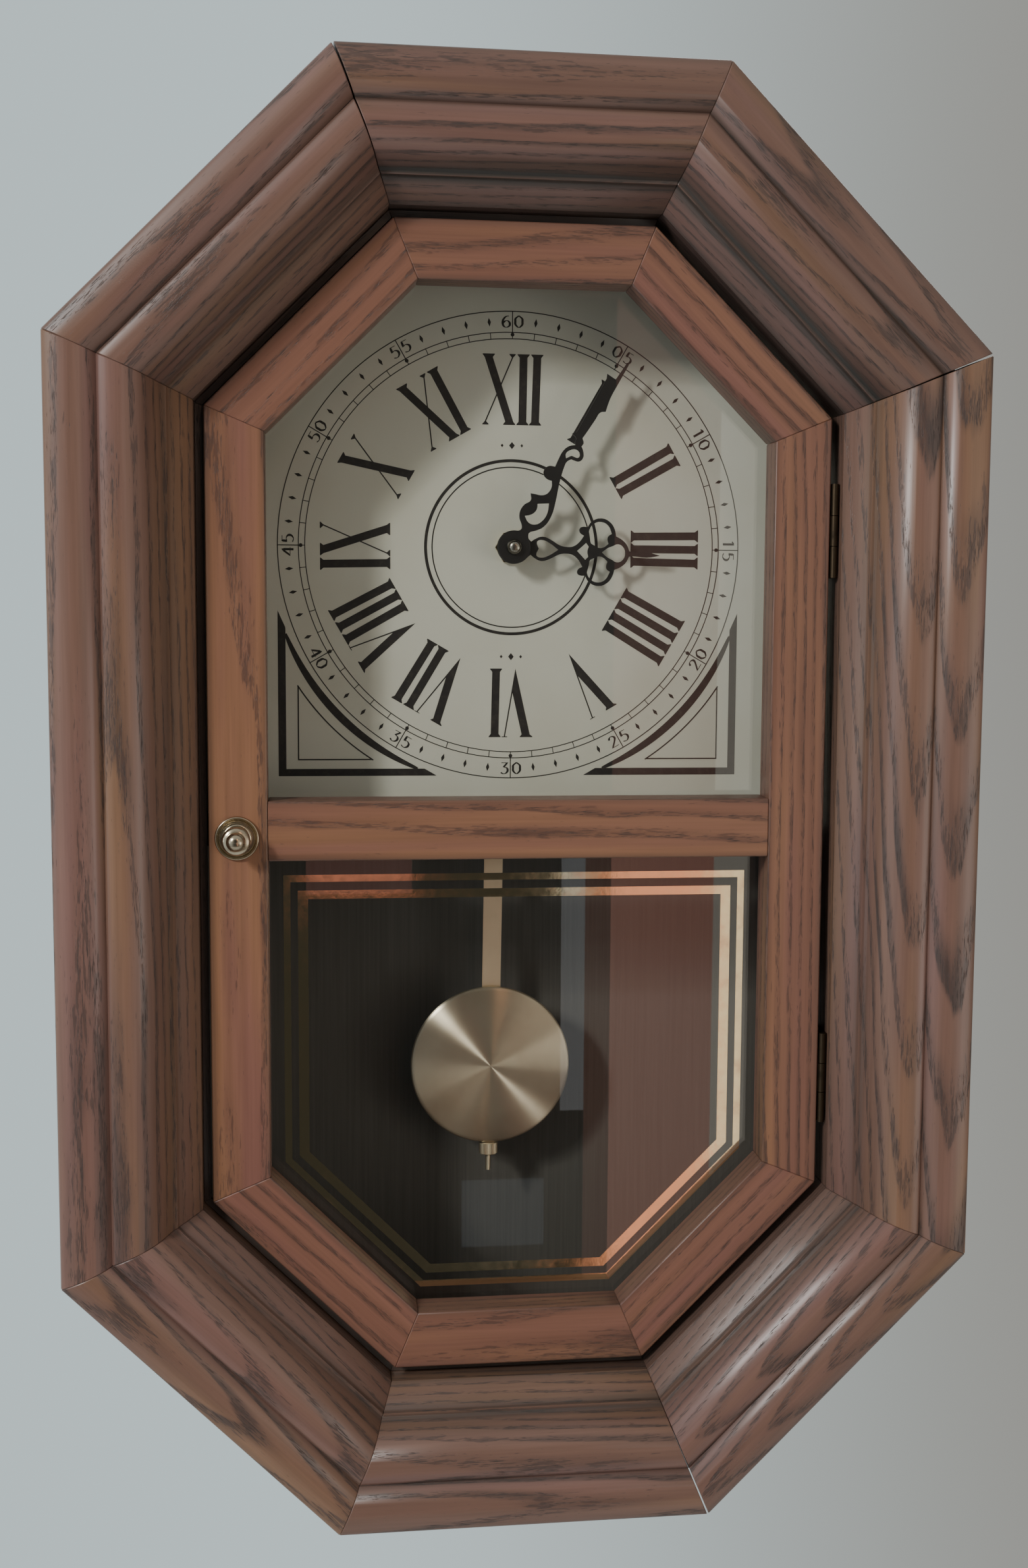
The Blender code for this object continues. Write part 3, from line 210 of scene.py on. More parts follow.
def metal(name, colour, dark, roughness, wear, brush=(300, 300, 300), bump=0.00002):
    """Metal with cloudy tarnish and fine scratches."""
    s = Surface(name, Metallic=1.0)
    place = s.place()
    cloud = s.noise(place, 90, 4.0, 0.6)
    fine = s.noise(place, brush, 2.0, 0.6)
    tarnish = s.times(s.step(cloud, 0.45, 0.75), wear)
    tinted = s.mix(tarnish, colour, dark)
    rough = s.plus(roughness - 0.06, s.times(fine, 0.12))
    rough = s.plus(rough, s.times(tarnish, 0.25))
    return s.finish(Base_Color=tinted, Roughness=rough, Normal=s.bump(fine, bump, 0.5))


def satin(name, colour, lighter, roughness, grain_scale=2500, grain_depth=0.00004):
    """Moulded plastic or satin paint: an even colour with fine texture and rubbed patches."""
    s = Surface(name)
    place = s.place()
    fine = s.noise(place, grain_scale, 2.0)
    worn = s.step(s.noise(place, 60, 4.0, 0.6), 0.5, 0.8)
    tinted = s.mix(s.times(worn, 0.5), colour, lighter)
    rough = s.plus(roughness - 0.05, s.times(fine, 0.10))
    return s.finish(Base_Color=tinted, Roughness=rough, Normal=s.bump(fine, grain_depth, 0.4))


def paper(name):
    """The dial's painted sheet: off-white, faintly mottled and yellowed in patches."""
    s = Surface(name)
    place = s.place()
    cloud = s.noise(place, 14, 4.0, 0.55)
    fibres = s.noise(place, 1600, 2.0)
    tinted = s.mix(s.step(cloud, 0.3, 0.75), (0.665, 0.65, 0.56), (0.61, 0.585, 0.485))
    speck = s.step(s.noise(place, 700, 1.0), 0.76, 0.80)
    tinted = s.mix(s.times(speck, 0.25), tinted, (0.36, 0.32, 0.25))
    rough = s.plus(0.42, s.times(fibres, 0.12))
    return s.finish(Base_Color=tinted, Roughness=rough, Normal=s.bump(fibres, 0.00002, 0.5))


def ink(name, colour, lighter):
    """Printing ink with slightly uneven cover."""
    s = Surface(name)
    place = s.place()
    cover = s.noise(place, 420, 3.0, 0.6)
    tinted = s.mix(s.step(cover, 0.45, 0.8), colour, lighter)
    rough = s.plus(0.38, s.times(cover, 0.14))
    return s.finish(Base_Color=tinted, Roughness=rough)


def window_glass(name, tint):
    """A thin pane: light passes straight through, and the two faces mirror a little."""
    s = Surface(name)
    s.tree.nodes.remove(s.shader)
    facing = s.node("LayerWeight", {"Blend": 0.5}).outputs["Facing"]
    slant = s.math("POWER", facing, 5.0)
    share = s.plus(0.04, s.times(slant, 0.96), True)
    smear = s.noise(s.place(), 22, 4.0, 0.6)
    rough = s.times(s.step(smear, 0.5, 0.9), 0.03)
    clear = s.node("BsdfTransparent", {"Color": tint}).outputs[0]
    mirror = s.node("BsdfGlossy", {"Color": (1.0, 1.0, 1.0), "Roughness": rough}).outputs[0]
    both = s.node("MixShader", {0: share, 1: clear, 2: mirror}).outputs[0]
    s.put(s.tree.nodes["Material Output"].inputs["Surface"], both)
    return s.material


def spun_bronze(name):
    """The bob's face, turned on a lathe: fine circular lines that spread light across them."""
    s = Surface(name, Metallic=1.0, Anisotropic=1.0, Anisotropic_Rotation=0.25)
    place = s.place("Generated")
    middle = s.node("VectorMath", {0: place, 1: (0.5, 0.5, 0.5)}, operation="SUBTRACT").outputs[0]
    apart = s.node("SeparateXYZ", {0: middle})
    x_squared, z_squared = (s.math("POWER", apart.outputs[i], 2.0) for i in (0, 2))
    out = s.math("SQRT", s.plus(x_squared, z_squared))
    lines = s.node("TexNoise", {"W": s.times(out, 420.0), "Scale": 1.0, "Detail": 3.0},
                   noise_dimensions="1D").outputs[0]
    cloud = s.noise(s.place(), 55, 3.0, 0.6)
    tinted = s.mix(s.step(cloud, 0.35, 0.75), (0.76, 0.66, 0.50), (0.68, 0.57, 0.42))
    tinted = s.mix(s.times(lines, 0.22), tinted, (0.48, 0.39, 0.28))
    tangent = s.node("Tangent", direction_type="RADIAL", axis="Y").outputs[0]
    rough = s.plus(0.30, s.times(lines, 0.06))
    return s.finish(Base_Color=tinted, Roughness=rough, Tangent=tangent, Normal=s.bump(lines, 0.00001, 0.2))


def plywood(name):
    """Thin plywood: rotary-cut veneer outside, plies on the cut edges, dark stain inside the case."""
    s = Surface(name)
    place = s.place()
    normal = s.node("SeparateXYZ", {0: s.place("Normal")})
    axes = s.node("SeparateXYZ", {0: place})
    wave = s.noise(place, (26, 4, 3), 2.0, 0.5)
    veneer = s.math("FRACT", s.times(wave, 14.0))
    fibre = s.noise(place, (900, 900, 14), 3.0, 0.6)
    face = s.mix(s.step(veneer, 0.1, 0.9), (0.50, 0.36, 0.21), (0.40, 0.27, 0.15))
    face = s.mix(s.times(fibre, 0.45), face, (0.27, 0.17, 0.09))
    ply = 1.2 * MM
    plies = s.math("FRACT", s.times(axes.outputs[1], 1 / ply))
    edge = s.mix(s.step(plies, 0.42, 0.58), (0.42, 0.29, 0.17), (0.24, 0.15, 0.08))
    on_face = s.step(s.math("ABSOLUTE", normal.outputs[1]), 0.5, 0.8)
    tinted = s.mix(on_face, edge, face)
    stained = s.mix(fibre, (0.125, 0.114, 0.100), (0.076, 0.069, 0.062))
    inside = s.times(on_face, s.math("LESS_THAN", axes.outputs[1], -3.0 * MM))
    tinted = s.mix(inside, tinted, stained)
    rough = s.plus(0.52, s.times(fibre, 0.25))
    return s.finish(Base_Color=tinted, Roughness=rough, Normal=s.bump(fibre, 0.00008, 0.5))


def board(name):
    """Fibreboard stained dark on every face."""
    s = Surface(name)
    place = s.place()
    fibres = s.noise(place, 1100, 3.0, 0.65)
    tinted = s.mix(fibres, (0.050, 0.036, 0.026), (0.020, 0.015, 0.012))
    return s.finish(Base_Color=tinted, Roughness=s.plus(0.6, s.times(fibres, 0.2)),
                    Normal=s.bump(fibres, 0.00008, 0.5))


def battery_jacket(name):
    """A plain printed sleeve: dark with a copper-coloured end band."""
    s = Surface(name)
    place = s.place()
    along = s.node("SeparateXYZ", {0: place}).outputs[0]
    band = s.math("GREATER_THAN", along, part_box("battery")[1].x - 12 * MM)
    fine = s.noise(place, 300, 2.0)
    tinted = s.mix(band, (0.018, 0.018, 0.020), (0.52, 0.27, 0.12))
    rough = s.plus(0.24, s.times(fine, 0.12))
    return s.finish(Base_Color=tinted, Roughness=rough, Metallic=s.times(band, 0.8))


OAK_MOULDING = oak("oak_moulding", (0.180, 0.101, 0.075), (0.222, 0.124, 0.072), (0.204, 0.108, 0.091),
                   (0.064, 0.044, 0.038), (0.036, 0.033, 0.029))
OAK_DOOR = oak("oak_door", (0.215, 0.101, 0.067), (0.270, 0.134, 0.073), (0.219, 0.099, 0.077),
               (0.085, 0.045, 0.034), (0.040, 0.032, 0.027))
OAK_CASE = oak("oak_case", (0.178, 0.096, 0.066), (0.202, 0.110, 0.064), (0.188, 0.098, 0.074),
               (0.066, 0.044, 0.036), (0.035, 0.032, 0.028), 0.42)
BRASS = metal("brass", (0.60, 0.47, 0.26), (0.26, 0.18, 0.09), 0.24, 0.6)
PALE_BRASS = metal("pale_brass", (0.92, 0.77, 0.56), (0.70, 0.54, 0.36), 0.40, 0.4, (900, 900, 40))
KNOB_BRASS = metal("knob_brass", (0.50, 0.43, 0.31), (0.16, 0.12, 0.08), 0.20, 0.55)
AGED_BRASS = metal("aged_brass", (0.060, 0.044, 0.028), (0.020, 0.016, 0.012), 0.48, 0.9)
PEWTER = metal("pewter", (0.36, 0.33, 0.28), (0.20, 0.18, 0.15), 0.24, 0.4)
GOLD_LEAF = metal("gold_leaf", (0.90, 0.72, 0.46), (0.80, 0.58, 0.34), 0.07, 0.2)
STEEL = metal("zinc_steel", (0.56, 0.56, 0.55), (0.30, 0.29, 0.27), 0.34, 0.5)
COPPER = metal("copper_wire", (0.72, 0.33, 0.18), (0.40, 0.16, 0.08), 0.3, 0.3, (4000, 300, 300), 0.00008)
BLACK_HANDS = satin("black_hands", (0.012, 0.011, 0.011), (0.026, 0.023, 0.021), 0.38)
BLACK_PLASTIC = satin("black_plastic", (0.016, 0.016, 0.017), (0.034, 0.033, 0.033), 0.50, 3200, 0.00006)
WHITE_PLASTIC = satin("white_plastic", (0.62, 0.60, 0.55), (0.70, 0.69, 0.65), 0.42)
DIAL_PAPER = paper("dial_paper")
DIAL_INK = ink("dial_ink", (0.018, 0.015, 0.014), (0.040, 0.033, 0.028))
CLEAR_GLASS = window_glass("clear_glass", (0.965, 0.975, 0.965))
BOB_BRONZE = spun_bronze("bob_bronze")
PLYWOOD = plywood("plywood")
FIBREBOARD = board("fibreboard")
JACKET = battery_jacket("battery_jacket")


# ---- pieces
SHARP_ANGLE = math.radians(35)  # an edge that turns more than this is shaded sharp


def add_object(name, data):
    made = bpy.data.objects.new(name, data)
    bpy.context.scene.collection.objects.link(made)
    return made


def new_piece(name, bm, material, body, stands_for=()):
    """Makes bm an object: normals out, smooth shading with sharp corners, material and body."""
    bmesh.ops.recalc_face_normals(bm, faces=bm.faces)
    if bm.calc_volume(signed=True) < 0:
        bmesh.ops.reverse_faces(bm, faces=bm.faces)
    mesh = bpy.data.meshes.new(name)
    bm.to_mesh(mesh)
    bm.free()
    mesh.shade_smooth()
    mesh.set_sharp_from_angle(angle=SHARP_ANGLE)
    mesh.materials.append(material)
    obj = add_object(name, mesh)
    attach(obj, body)
    if stands_for:
        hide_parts(*stands_for)
    return obj


def add_loft(bm, rings):
    """A closed solid through rings of equal counts, capped at both ends."""
    rows = [[bm.verts.new(point) for point in ring] for ring in rings]
    count = len(rings[0])
    for row, following in zip(rows, rows[1:]):
        for i in range(count):
            j = (i + 1) % count
            bm.faces.new((row[i], row[j], following[j], following[i]))
    bm.faces.new(rows[0])
    bm.faces.new(rows[-1])


def add_prism(bm, outline, y_front, y_back):
    """A flat solid from an (x, z) outline."""
    add_loft(bm, [[Vector((x, y, z)) for x, z in outline] for y in (y_front, y_back)])


def add_ribbon(bm, left, right, y_front, y_back, closed=False):
    """A flat solid between two (x, z) lines of equal counts."""
    front = [[bm.verts.new((x, y_front, z)) for x, z in line] for line in (left, right)]
    back = [[bm.verts.new((x, y_back, z)) for x, z in line] for line in (left, right)]
    count = len(left)
    for i in range(count if closed else count - 1):
        j = (i + 1) % count
        bm.faces.new((front[0][i], front[0][j], front[1][j], front[1][i]))
        bm.faces.new((back[0][j], back[0][i], back[1][i], back[1][j]))
        bm.faces.new((front[0][j], front[0][i], back[0][i], back[0][j]))
        bm.faces.new((front[1][i], front[1][j], back[1][j], back[1][i]))
    if not closed:
        for i in (0, count - 1):
            bm.faces.new((front[0][i], front[1][i], back[1][i], back[0][i]))


def around(radius, count):
    """Points round a circle about (0, 0)."""
    turns = [2 * math.pi * i / count for i in range(count)]
    return [(radius * math.cos(turn), radius * math.sin(turn)) for turn in turns]


def add_turned(bm, profile, centre, axis="Y", count=48):
    """A turned solid from a (radius, along) profile. Along runs on +axis, X or Y, from the centre."""
    centre = Vector(centre)
    add_loft(bm, [[centre + Vector((along, u, v) if axis == "X" else (u, along, v))
                   for u, v in around(radius, count)] for radius, along in profile])


def add_turned_ring(bm, profile, centre, count=64):
    """A turned ring about Y: its profile of (radius, along) runs right round, and never meets the axis."""
    centre = Vector(centre)
    rows = [[bm.verts.new(centre + Vector((u, along, v))) for u, v in around(radius, count)]
            for radius, along in profile]
    for row, following in zip(rows, rows[1:] + rows[:1]):
        for i in range(count):
            j = (i + 1) % count
            bm.faces.new((row[i], following[i], following[j], row[j]))


def smooth_line(points, steps):
    """Catmull-Rom curve through points; a point with "corner" in it stays sharp."""
    sharp = [point[-1] == "corner" for point in points]
    places = [Vector(point[:-1]) if corner else Vector(point) for point, corner in zip(points, sharp)]
    line = []
    for i, (a, b) in enumerate(zip(places, places[1:])):
        before = places[i - 1] if i and not sharp[i] else a
        after = places[i + 2] if i + 2 < len(places) and not sharp[i + 1] else b
        for k in range(steps):
            t = k / steps
            line.append(0.5 * ((2 * a) + (b - before) * t + (2 * before - 5 * a + 4 * b - after) * t * t
                               + (3 * a - before - 3 * b + after) * t ** 3))
    line.append(places[-1])
    return line


NEAR_AXIS = 0.02  # mm: turned profiles stop here, short of the axis


def add_smooth_turned(bm, points, steps, centre, count):
    """A turned solid about Y from a smooth line through (radius, along) points in mm."""
    line = smooth_line(points, steps)
    add_turned(bm, [(max(p.x, NEAR_AXIS) * MM, p.y * MM) for p in line], centre, count=count)


# ---- oak members of the two octagons
def octagon(inset):
    """Corners (x, z) at this inset, from the top side's left end, clockwise seen from the front."""
    w, h = HALF_WIDTH - inset, HALF_HEIGHT - inset
    c = CORNER_CUT - inset * (2 - ROOT_TWO)
    return [Vector(p) for p in ((c - w, h), (w - c, h), (w, h - c), (w, c - h), (w - c, -h), (c - w, -h),
                                (-w, c - h), (-w, h - c))]


def shrunk(section, distance):
    """A closed (inset, y) section moved inwards by distance."""
    points = [Vector(p[:2]) for p in section]
    area = sum(a.x * b.y - b.x * a.y for a, b in zip(points, points[1:] + points[:1]))
    turn = 1 if area > 0 else -1
    moved = []
    for i, point in enumerate(points):
        run = (points[(i + 1) % len(points)] - points[i - 1]).normalized()
        moved.append(point + turn * distance * Vector((-run.y, run.x)))
    return moved


class Cut:
    """How a board was sawn: where its growth rings lie across its section and run out along it."""

    def __init__(self, seed, lean, run_out=0.01, pith=0.0, radius=0.0, ring=3.0, glaze_and_shade=1.0, veil=0.0,
                 figure=1.0):
        self.seed = seed  # moves the board within the tree
        self.lean = math.radians(lean)  # 90 puts the rings flat on the face, 0 upright
        self.run_out = run_out  # how far the rings climb for each metre along
        self.pith = pith * MM  # where across the board the rings' arcs are centred
        self.radius = radius * MM  # of those arcs, 0 for straight rings
        self.ring = ring * MM  # width of one ring
        self.glaze_and_shade = glaze_and_shade  # how much dark glazing and painted shade lie in the recesses, set per side by how light falls on it
        self.veil = veil  # and over the whole board
        self.figure = figure  # how strongly the rings show

    def rings_at(self, along, across, depth):
        across -= self.pith
        value = across * math.cos(self.lean) + depth * math.sin(self.lean) + self.run_out * along
        if self.radius:
            value += across * across / (2 * self.radius)
        return value / self.ring + 20 * self.seed

    def grain_at(self, along, across, depth):
        return (along + 1.37 * self.seed, across + 0.71 * self.seed, depth + 0.29 * self.seed)


END_EASE = 0.25 * MM  # how far the members' sawn ends are eased
COVE_INSET = 42 * MM  # from here inwards the moulding is cut across its rings,
COVE_FIGURE = 0.35  # and they show less


def figure_share(name, across):
    return COVE_FIGURE if "moulding" in name and across > COVE_INSET else 1.0


def oak_piece(name, section, glaze_and_shade, cut, place, half_length_at, material, slot, stands_for):
    """An oak member: section lists its (across, y) points, place turns (along, across, y) into the frame."""
    back_off_ease = 1.4 * END_EASE
    stations = [(-1, END_EASE, 0.0), (-1, 0.0, back_off_ease), (-0.33, 0.0, 0.0), (0.33, 0.0, 0.0),
                (1, 0.0, back_off_ease), (1, END_EASE, 0.0)]
    rings, grain, phases, glaze_and_shade_values, figures = [], [], [], [], []
    for share, inward, back_off in stations:
        ring = []
        for point, (across, y) in zip(section, shrunk(section, inward)):
            half = half_length_at(across, -1 if share < 0 else 1)
            along = share * half - math.copysign(back_off, share)
            ring.append(place(along, across, y))
            depth = y - FRONT_Y
            grain += cut.grain_at(along, across, depth)
            phases.append(cut.rings_at(along, across, depth))
            glaze_and_shade_values.append(min(1.0, cut.veil + glaze_and_shade(*point) * cut.glaze_and_shade))
            figures.append(cut.figure * figure_share(name, point[0]))
        rings.append(ring)
    bm = bmesh.new()
    add_loft(bm, rings)
    obj = new_piece(name, bm, material, "door" if "door" in slot else "case", stands_for)
    obj.data.attributes.new("grain", "FLOAT_VECTOR", "POINT").data.foreach_set("vector", grain)
    for key, values in (("ring", phases), ("glaze_and_shade", glaze_and_shade_values), ("figure", figures)):
        obj.data.attributes.new(key, "FLOAT", "POINT").data.foreach_set("value", values)


def octagon_member(name, side, section, glaze_and_shade, cut, material, slot, stands_for, openings=(0.0, 0.0)):
    """A mitred side of an octagonal ring. openings are how far its two mitres gape at the outer edge."""
    index = SIDES.index(side)
    start, end = octagon(0.0)[index], octagon(0.0)[(index + 1) % 8]
    middle, run = (start + end) / 2, (end - start).normalized()
    inward = Vector((run.y, -run.x))
    width = max(p[0] for p in section)

    def half_length_at(across, end_sign):
        a, b = octagon(across)[index], octagon(across)[(index + 1) % 8]
        gape = openings[0 if end_sign < 0 else 1] * (1 - across / width)
        return (b - a).length / 2 - MITRE_GAP - gape / 2

    def place(along, across, y):
        flat = middle + run * along + inward * across
        return Vector((flat.x, y, flat.y))

    oak_piece(name, section, glaze_and_shade, cut, place, half_length_at, material, slot, stands_for)


def hill(value, centre, half_width):
    """1 at the centre, 0 beyond half_width, smooth between."""
    away = min(1.0, abs(value - centre) / half_width)
    return (1 - away * away) ** 2


MOULDING_WIDTH = 55.9  # mm


def moulding_section():
    """Nose and wide crest, quirk, second crest, shoulder, fillet and a sloping flat."""
    # (inset, drop) in mm
    face = [(0.0, 2.4), (0.1, 1.3), (0.6, 0.2), (1.6, -0.5), (3.6, -1.2), (6.5, -1.9), (10.0, -2.19),
            (13.5, -1.7), (16.8, -0.5), (19.0, 1.1), (20.6, 2.8, "corner"), (21.5, 2.0), (23.2, 1.4),
            (25.5, 1.0), (29.0, 1.0), (32.5, 1.9), (35.5, 3.4), (38.2, 5.6), (40.6, 8.4), (42.6, 11.7),
            (44.0, 14.1, "corner"), (45.0, 15.3, "corner"), (46.2, 15.4, "corner"), (46.8, 17.0, "corner"),
            (50.9, 20.9), (54.9, 25.5), (MOULDING_WIDTH, 26.8, "corner")]
    line = [(p.x * MM, FRONT_Y + p.y * MM) for p in smooth_line(face, 5)]
    back_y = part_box("moulding_left")[1].y
    step_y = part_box("case_side_left")[0].y - 0.3 * MM
    board_inner = HALF_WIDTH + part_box("case_side_left")[1].x + 0.6 * MM
    return line + [(MOULDING_WIDTH * MM, back_y), (board_inner, back_y), (board_inner, step_y), (0.0, step_y)]


def moulding_glaze_and_shade(across, y):
    """Dark glazing and painted shade in the quirk and the fillets, thinner on the shoulder and the inner
    slope.
    """
    mm = across / MM
    share = (0.42 * hill(mm, 20.6, 2.2) + 0.34 * hill(mm, 42.6, 4.5) + 0.55 * hill(mm, 45.0, 2.4)
             + 0.15 * hill(mm, 1.0, 3.0))
    if mm > 46.4:
        share += 0.22 + 0.40 * hill(mm, 47.4, 2.2) + 0.30 * hill(mm, MOULDING_WIDTH, 2.5)
    return share if y < FRONT_Y + 30 * MM else 0.3


# The glaze_and_shade strength and the veil over the whole board are set per side, heaviest on the top
# members: painted shade for how light falls on each side, on top of the real glazing.
MOULDING_CUTS = {
    "top": Cut(1, 64, 0.012, 30, 70, 4.6, 1.05, 0.18),
    "top_right": Cut(2, 86, 0.050, 12, 90, 4.2, 1.1, 0.20),
    "right": Cut(3, 90, 0.074, 14, 0, -4.6, 0.55, 0.02, 1.5),
    "bottom_right": Cut(4, 88, 0.074, 30, 0, -2.7, 0.70, 0.10, 1.1),
    "bottom": Cut(5, 80, -0.030, 28, 100, 4.4, 0.95, 0.08),
    "bottom_left": Cut(6, 86, -0.060, 26, 0, 4.2, 0.65, 0.06, 1.2),
    "left": Cut(7, 78, 0.018, 30, 60, 5.2, 0.5, 0.0),
    "top_left": Cut(8, 84, 0.028, 20, 90, 4.4, 0.7, 0.06, 1.2),
}
# The door's top rail gets the heaviest veil, as painted shade under the moulding.
DOOR_CUTS = {
    "top": Cut(11, 74, 0.022, 66, 70, 4.2, 1.0, 0.10),
    "top_right": Cut(12, 50, 0.014, 70, 0, 4.4, 1.0, 0.04),
    "right": Cut(13, 34, 0.008, 70, 0, 4.0, 1.0, 0.04),
    "bottom_right": Cut(14, 48, 0.016, 70, 0, 4.2, 1.0, 0.04),
    "bottom": Cut(15, 80, 0.026, 76, 60, 4.0, 1.0, 0.06),
    "bottom_left": Cut(16, 52, 0.020, 74, 80, 4.4),
    "left": Cut(17, 80, 0.014, 72, 60, 4.4),
    "top_left": Cut(18, 68, 0.020, 60, 80, 4.3),
}
OPEN_MITRE = 0.9 * MM  # three of the moulding's mitres have opened this far
OPENINGS = {"top_left": (0, OPEN_MITRE), "top": (OPEN_MITRE, 0), "top_right": (0, OPEN_MITRE),
            "right": (OPEN_MITRE, 0), "bottom_right": (0, 0.7 * OPEN_MITRE), "bottom": (0.7 * OPEN_MITRE, 0)}


def rounded_corner(x, y, x_sign, y_sign, radius, steps=4, first="x"):
    """Points round a convex corner at (x, y) of a section; the signs point away from the wood."""
    centre = (x - x_sign * radius, y - y_sign * radius)
    turns = [math.pi / 2 * k / steps for k in range(steps + 1)]
    if first == "y":
        turns.reverse()
    return [(centre[0] + x_sign * radius * math.cos(t), centre[1] + y_sign * radius * math.sin(t))
            for t in turns]


def flat_run(a, b, longest=2.5 * MM):
    """Points strictly between a and b, close enough to carry curved grain."""
    a, b = Vector(a), Vector(b)
    count = max(1, math.ceil((b - a).length / longest))
    return [tuple(a.lerp(b, k / count)) for k in range(1, count)]


DOOR_EASE = 0.8 * MM


def eased_face(low, high, y):
    """The points of a flat face from low to high across, both its edges eased."""
    return (rounded_corner(low, y, -1, -1, DOOR_EASE)
            + flat_run((low + DOOR_EASE, y), (high - DOOR_EASE, y))
            + rounded_corner(high, y, 1, -1, DOOR_EASE, first="y"))


def make_oak():
    section = moulding_section()
    for side in SIDES:
        octagon_member("moulding_%s_shaped" % side, side, section, moulding_glaze_and_shade, MOULDING_CUTS[side],
                       OAK_MOULDING, "oak_moulding", ["moulding_" + side], OPENINGS.get(side, (0, 0)))

    low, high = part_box("case_side_left")
    outer, inner = HALF_WIDTH + low.x, HALF_WIDTH + high.x
    case = ([(outer, low.y)] + flat_run((outer, low.y), (outer, high.y - 0.8 * MM), 8 * MM)
            + rounded_corner(outer, high.y, -1, 1, 0.8 * MM) + [(inner, high.y), (inner, low.y)])
    near, far, bead_front, bead_back = 56.1 * MM, 59.0 * MM, -92.4 * MM, -89.9 * MM
    bead = [(near, bead_front), (far, bead_front), (far, bead_back), (near, bead_back)]
    # The beads in the door gap are darkened all over: dark glazing and painted shade.
    for number, side in enumerate(("bottom", "bottom_left", "left", "top_left", "top")):
        octagon_member("door_bead_" + side, side, bead, lambda across, y: 0.8, Cut(41 + number, 60),
                       OAK_MOULDING, "oak_moulding", [])
    for number, side in enumerate(SIDES):
        octagon_member("case_side_%s_oak" % side, side, case, lambda across, y: 0.0,
                       Cut(21 + number, 8 + 3 * number, 0.01, 10, 0, 2.8), OAK_CASE, "oak_case",
                       ["case_side_" + side])
    make_door_frame()


def make_door_frame():
    low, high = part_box("door_left_stile")
    outer, sight = HALF_WIDTH + low.x, HALF_WIDTH + high.x
    front, back = low.y, high.y
    rebate = HALF_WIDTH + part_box("dial_glass")[0].x - 0.5 * MM
    glass_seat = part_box("dial_glass")[0].y - 0.3 * MM
    section = eased_face(outer, sight, front) + [(sight, glass_seat), (rebate, glass_seat), (rebate, back),
                                                 (outer, back)]

    # Darker along the outer edge by the gap and along the sight edge: dark glazing and painted shade.
    def glaze_and_shade(across, y):
        mm = across / MM
        return 0.30 * hill(mm, outer / MM, 2.6) + 0.40 * hill(mm, sight / MM, 2.2)

    for side in SIDES:
        node = "door_%s_%s" % (side, "stile" if side in ("left", "right") else "rail")
        octagon_member(node + "_oak", side, section, glaze_and_shade, DOOR_CUTS[side], OAK_DOOR, "oak_door", [node])

    low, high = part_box("door_mid_rail")
    top, bottom, lip = high.z, low.z, 6 * MM
    rail = eased_face(bottom, top, front) + [
        (top, glass_seat), (top - lip, glass_seat), (top - lip, back), (bottom + lip, back),
        (bottom + lip, glass_seat), (bottom, glass_seat)]

    # Darker along the rail's top and bottom edges: dark glazing and painted shade.
    def rail_glaze_and_shade(across, y):
        return 0.40 * hill(across, bottom, 2.2 * MM) + 0.40 * hill(across, top, 2.2 * MM)

    oak_piece("door_mid_rail_oak", rail, rail_glaze_and_shade, Cut(31, 70, 0.012, -8, 60, 4.0, 1.0, 0.04, 1.3),
              lambda along, across, y: Vector((along, y, across)), lambda across, sign: high.x + 0.2 * MM,
              OAK_DOOR, "oak_door", ["door_mid_rail"])


# ---- dial printing
PRINT_FRONT = DIAL_Y - 0.06 * MM
PRINT_BACK = DIAL_Y - 0.01 * MM


def dial_point(radius, degrees, across=0.0):
    """(x, z) on the dial: degrees clockwise from twelve, radius and across in mm."""
    s, c = math.sin(math.radians(degrees)), math.cos(math.radians(degrees))
    return (DIAL_CENTRE.x + (radius * s + across * c) * MM, DIAL_CENTRE.y + (radius * c - across * s) * MM)


def add_ring(bm, radius, width, count=180, start=0.0, end=360.0):
    whole = end - start >= 360
    turns = [start + (end - start) * i / (count if whole else count - 1) for i in range(count)]
    inner, outer = ([dial_point(radius + side * width / 2, t) for t in turns] for side in (-1, 1))
    add_ribbon(bm, inner, outer, PRINT_FRONT, PRINT_BACK, whole)


def print_shape(bm, degrees, points, front=PRINT_FRONT):
    """A flat printed shape, from (across, radius) points in mm on the dial's radius at degrees."""
    add_prism(bm, [dial_point(radius, degrees, across) for across, radius in points], front, PRINT_BACK)


def add_bar(bm, inner, outer, degrees, width, front=PRINT_FRONT):
    half = width / 2
    print_shape(bm, degrees, ((-half, inner), (half, inner), (half, outer), (-half, outer)), front)


def add_lozenge(bm, radius, degrees, across, half_height, half_width):
    print_shape(bm, degrees, ((across, radius - half_height), (across + half_width, radius),
                              (across, radius + half_height), (across - half_width, radius)))


TRACK_OUTER, TRACK_INNER = 0.912 * RING, 0.885 * RING
FIGURE_RADIUS = 0.957 * RING
NUMERAL_FOOT, NUMERAL_HEAD = 0.522 * RING, 0.821 * RING


def print_minute_track():
    bm = bmesh.new()
    add_ring(bm, RING, 0.44)
    add_ring(bm, TRACK_OUTER, 0.40)
    add_ring(bm, TRACK_INNER, 0.40)
    for minute in range(60):
        degrees = 6 * minute
        add_bar(bm, TRACK_INNER, TRACK_OUTER, degrees, 0.34, PRINT_FRONT - 0.004 * MM)
        if minute % 5:
            add_lozenge(bm, FIGURE_RADIUS, degrees, 0.0, 1.9, 0.75)
        else:
            add_bar(bm, TRACK_OUTER, RING, degrees, 0.42, PRINT_FRONT - 0.004 * MM)
            middle = (TRACK_INNER + TRACK_OUTER) / 2 + 0.4
            print_shape(bm, degrees, [(u, middle + v) for u, v in around(0.85, 12)],
                        PRINT_FRONT - 0.008 * MM)
    new_piece("dial_minute_track", bm, DIAL_INK, "case")


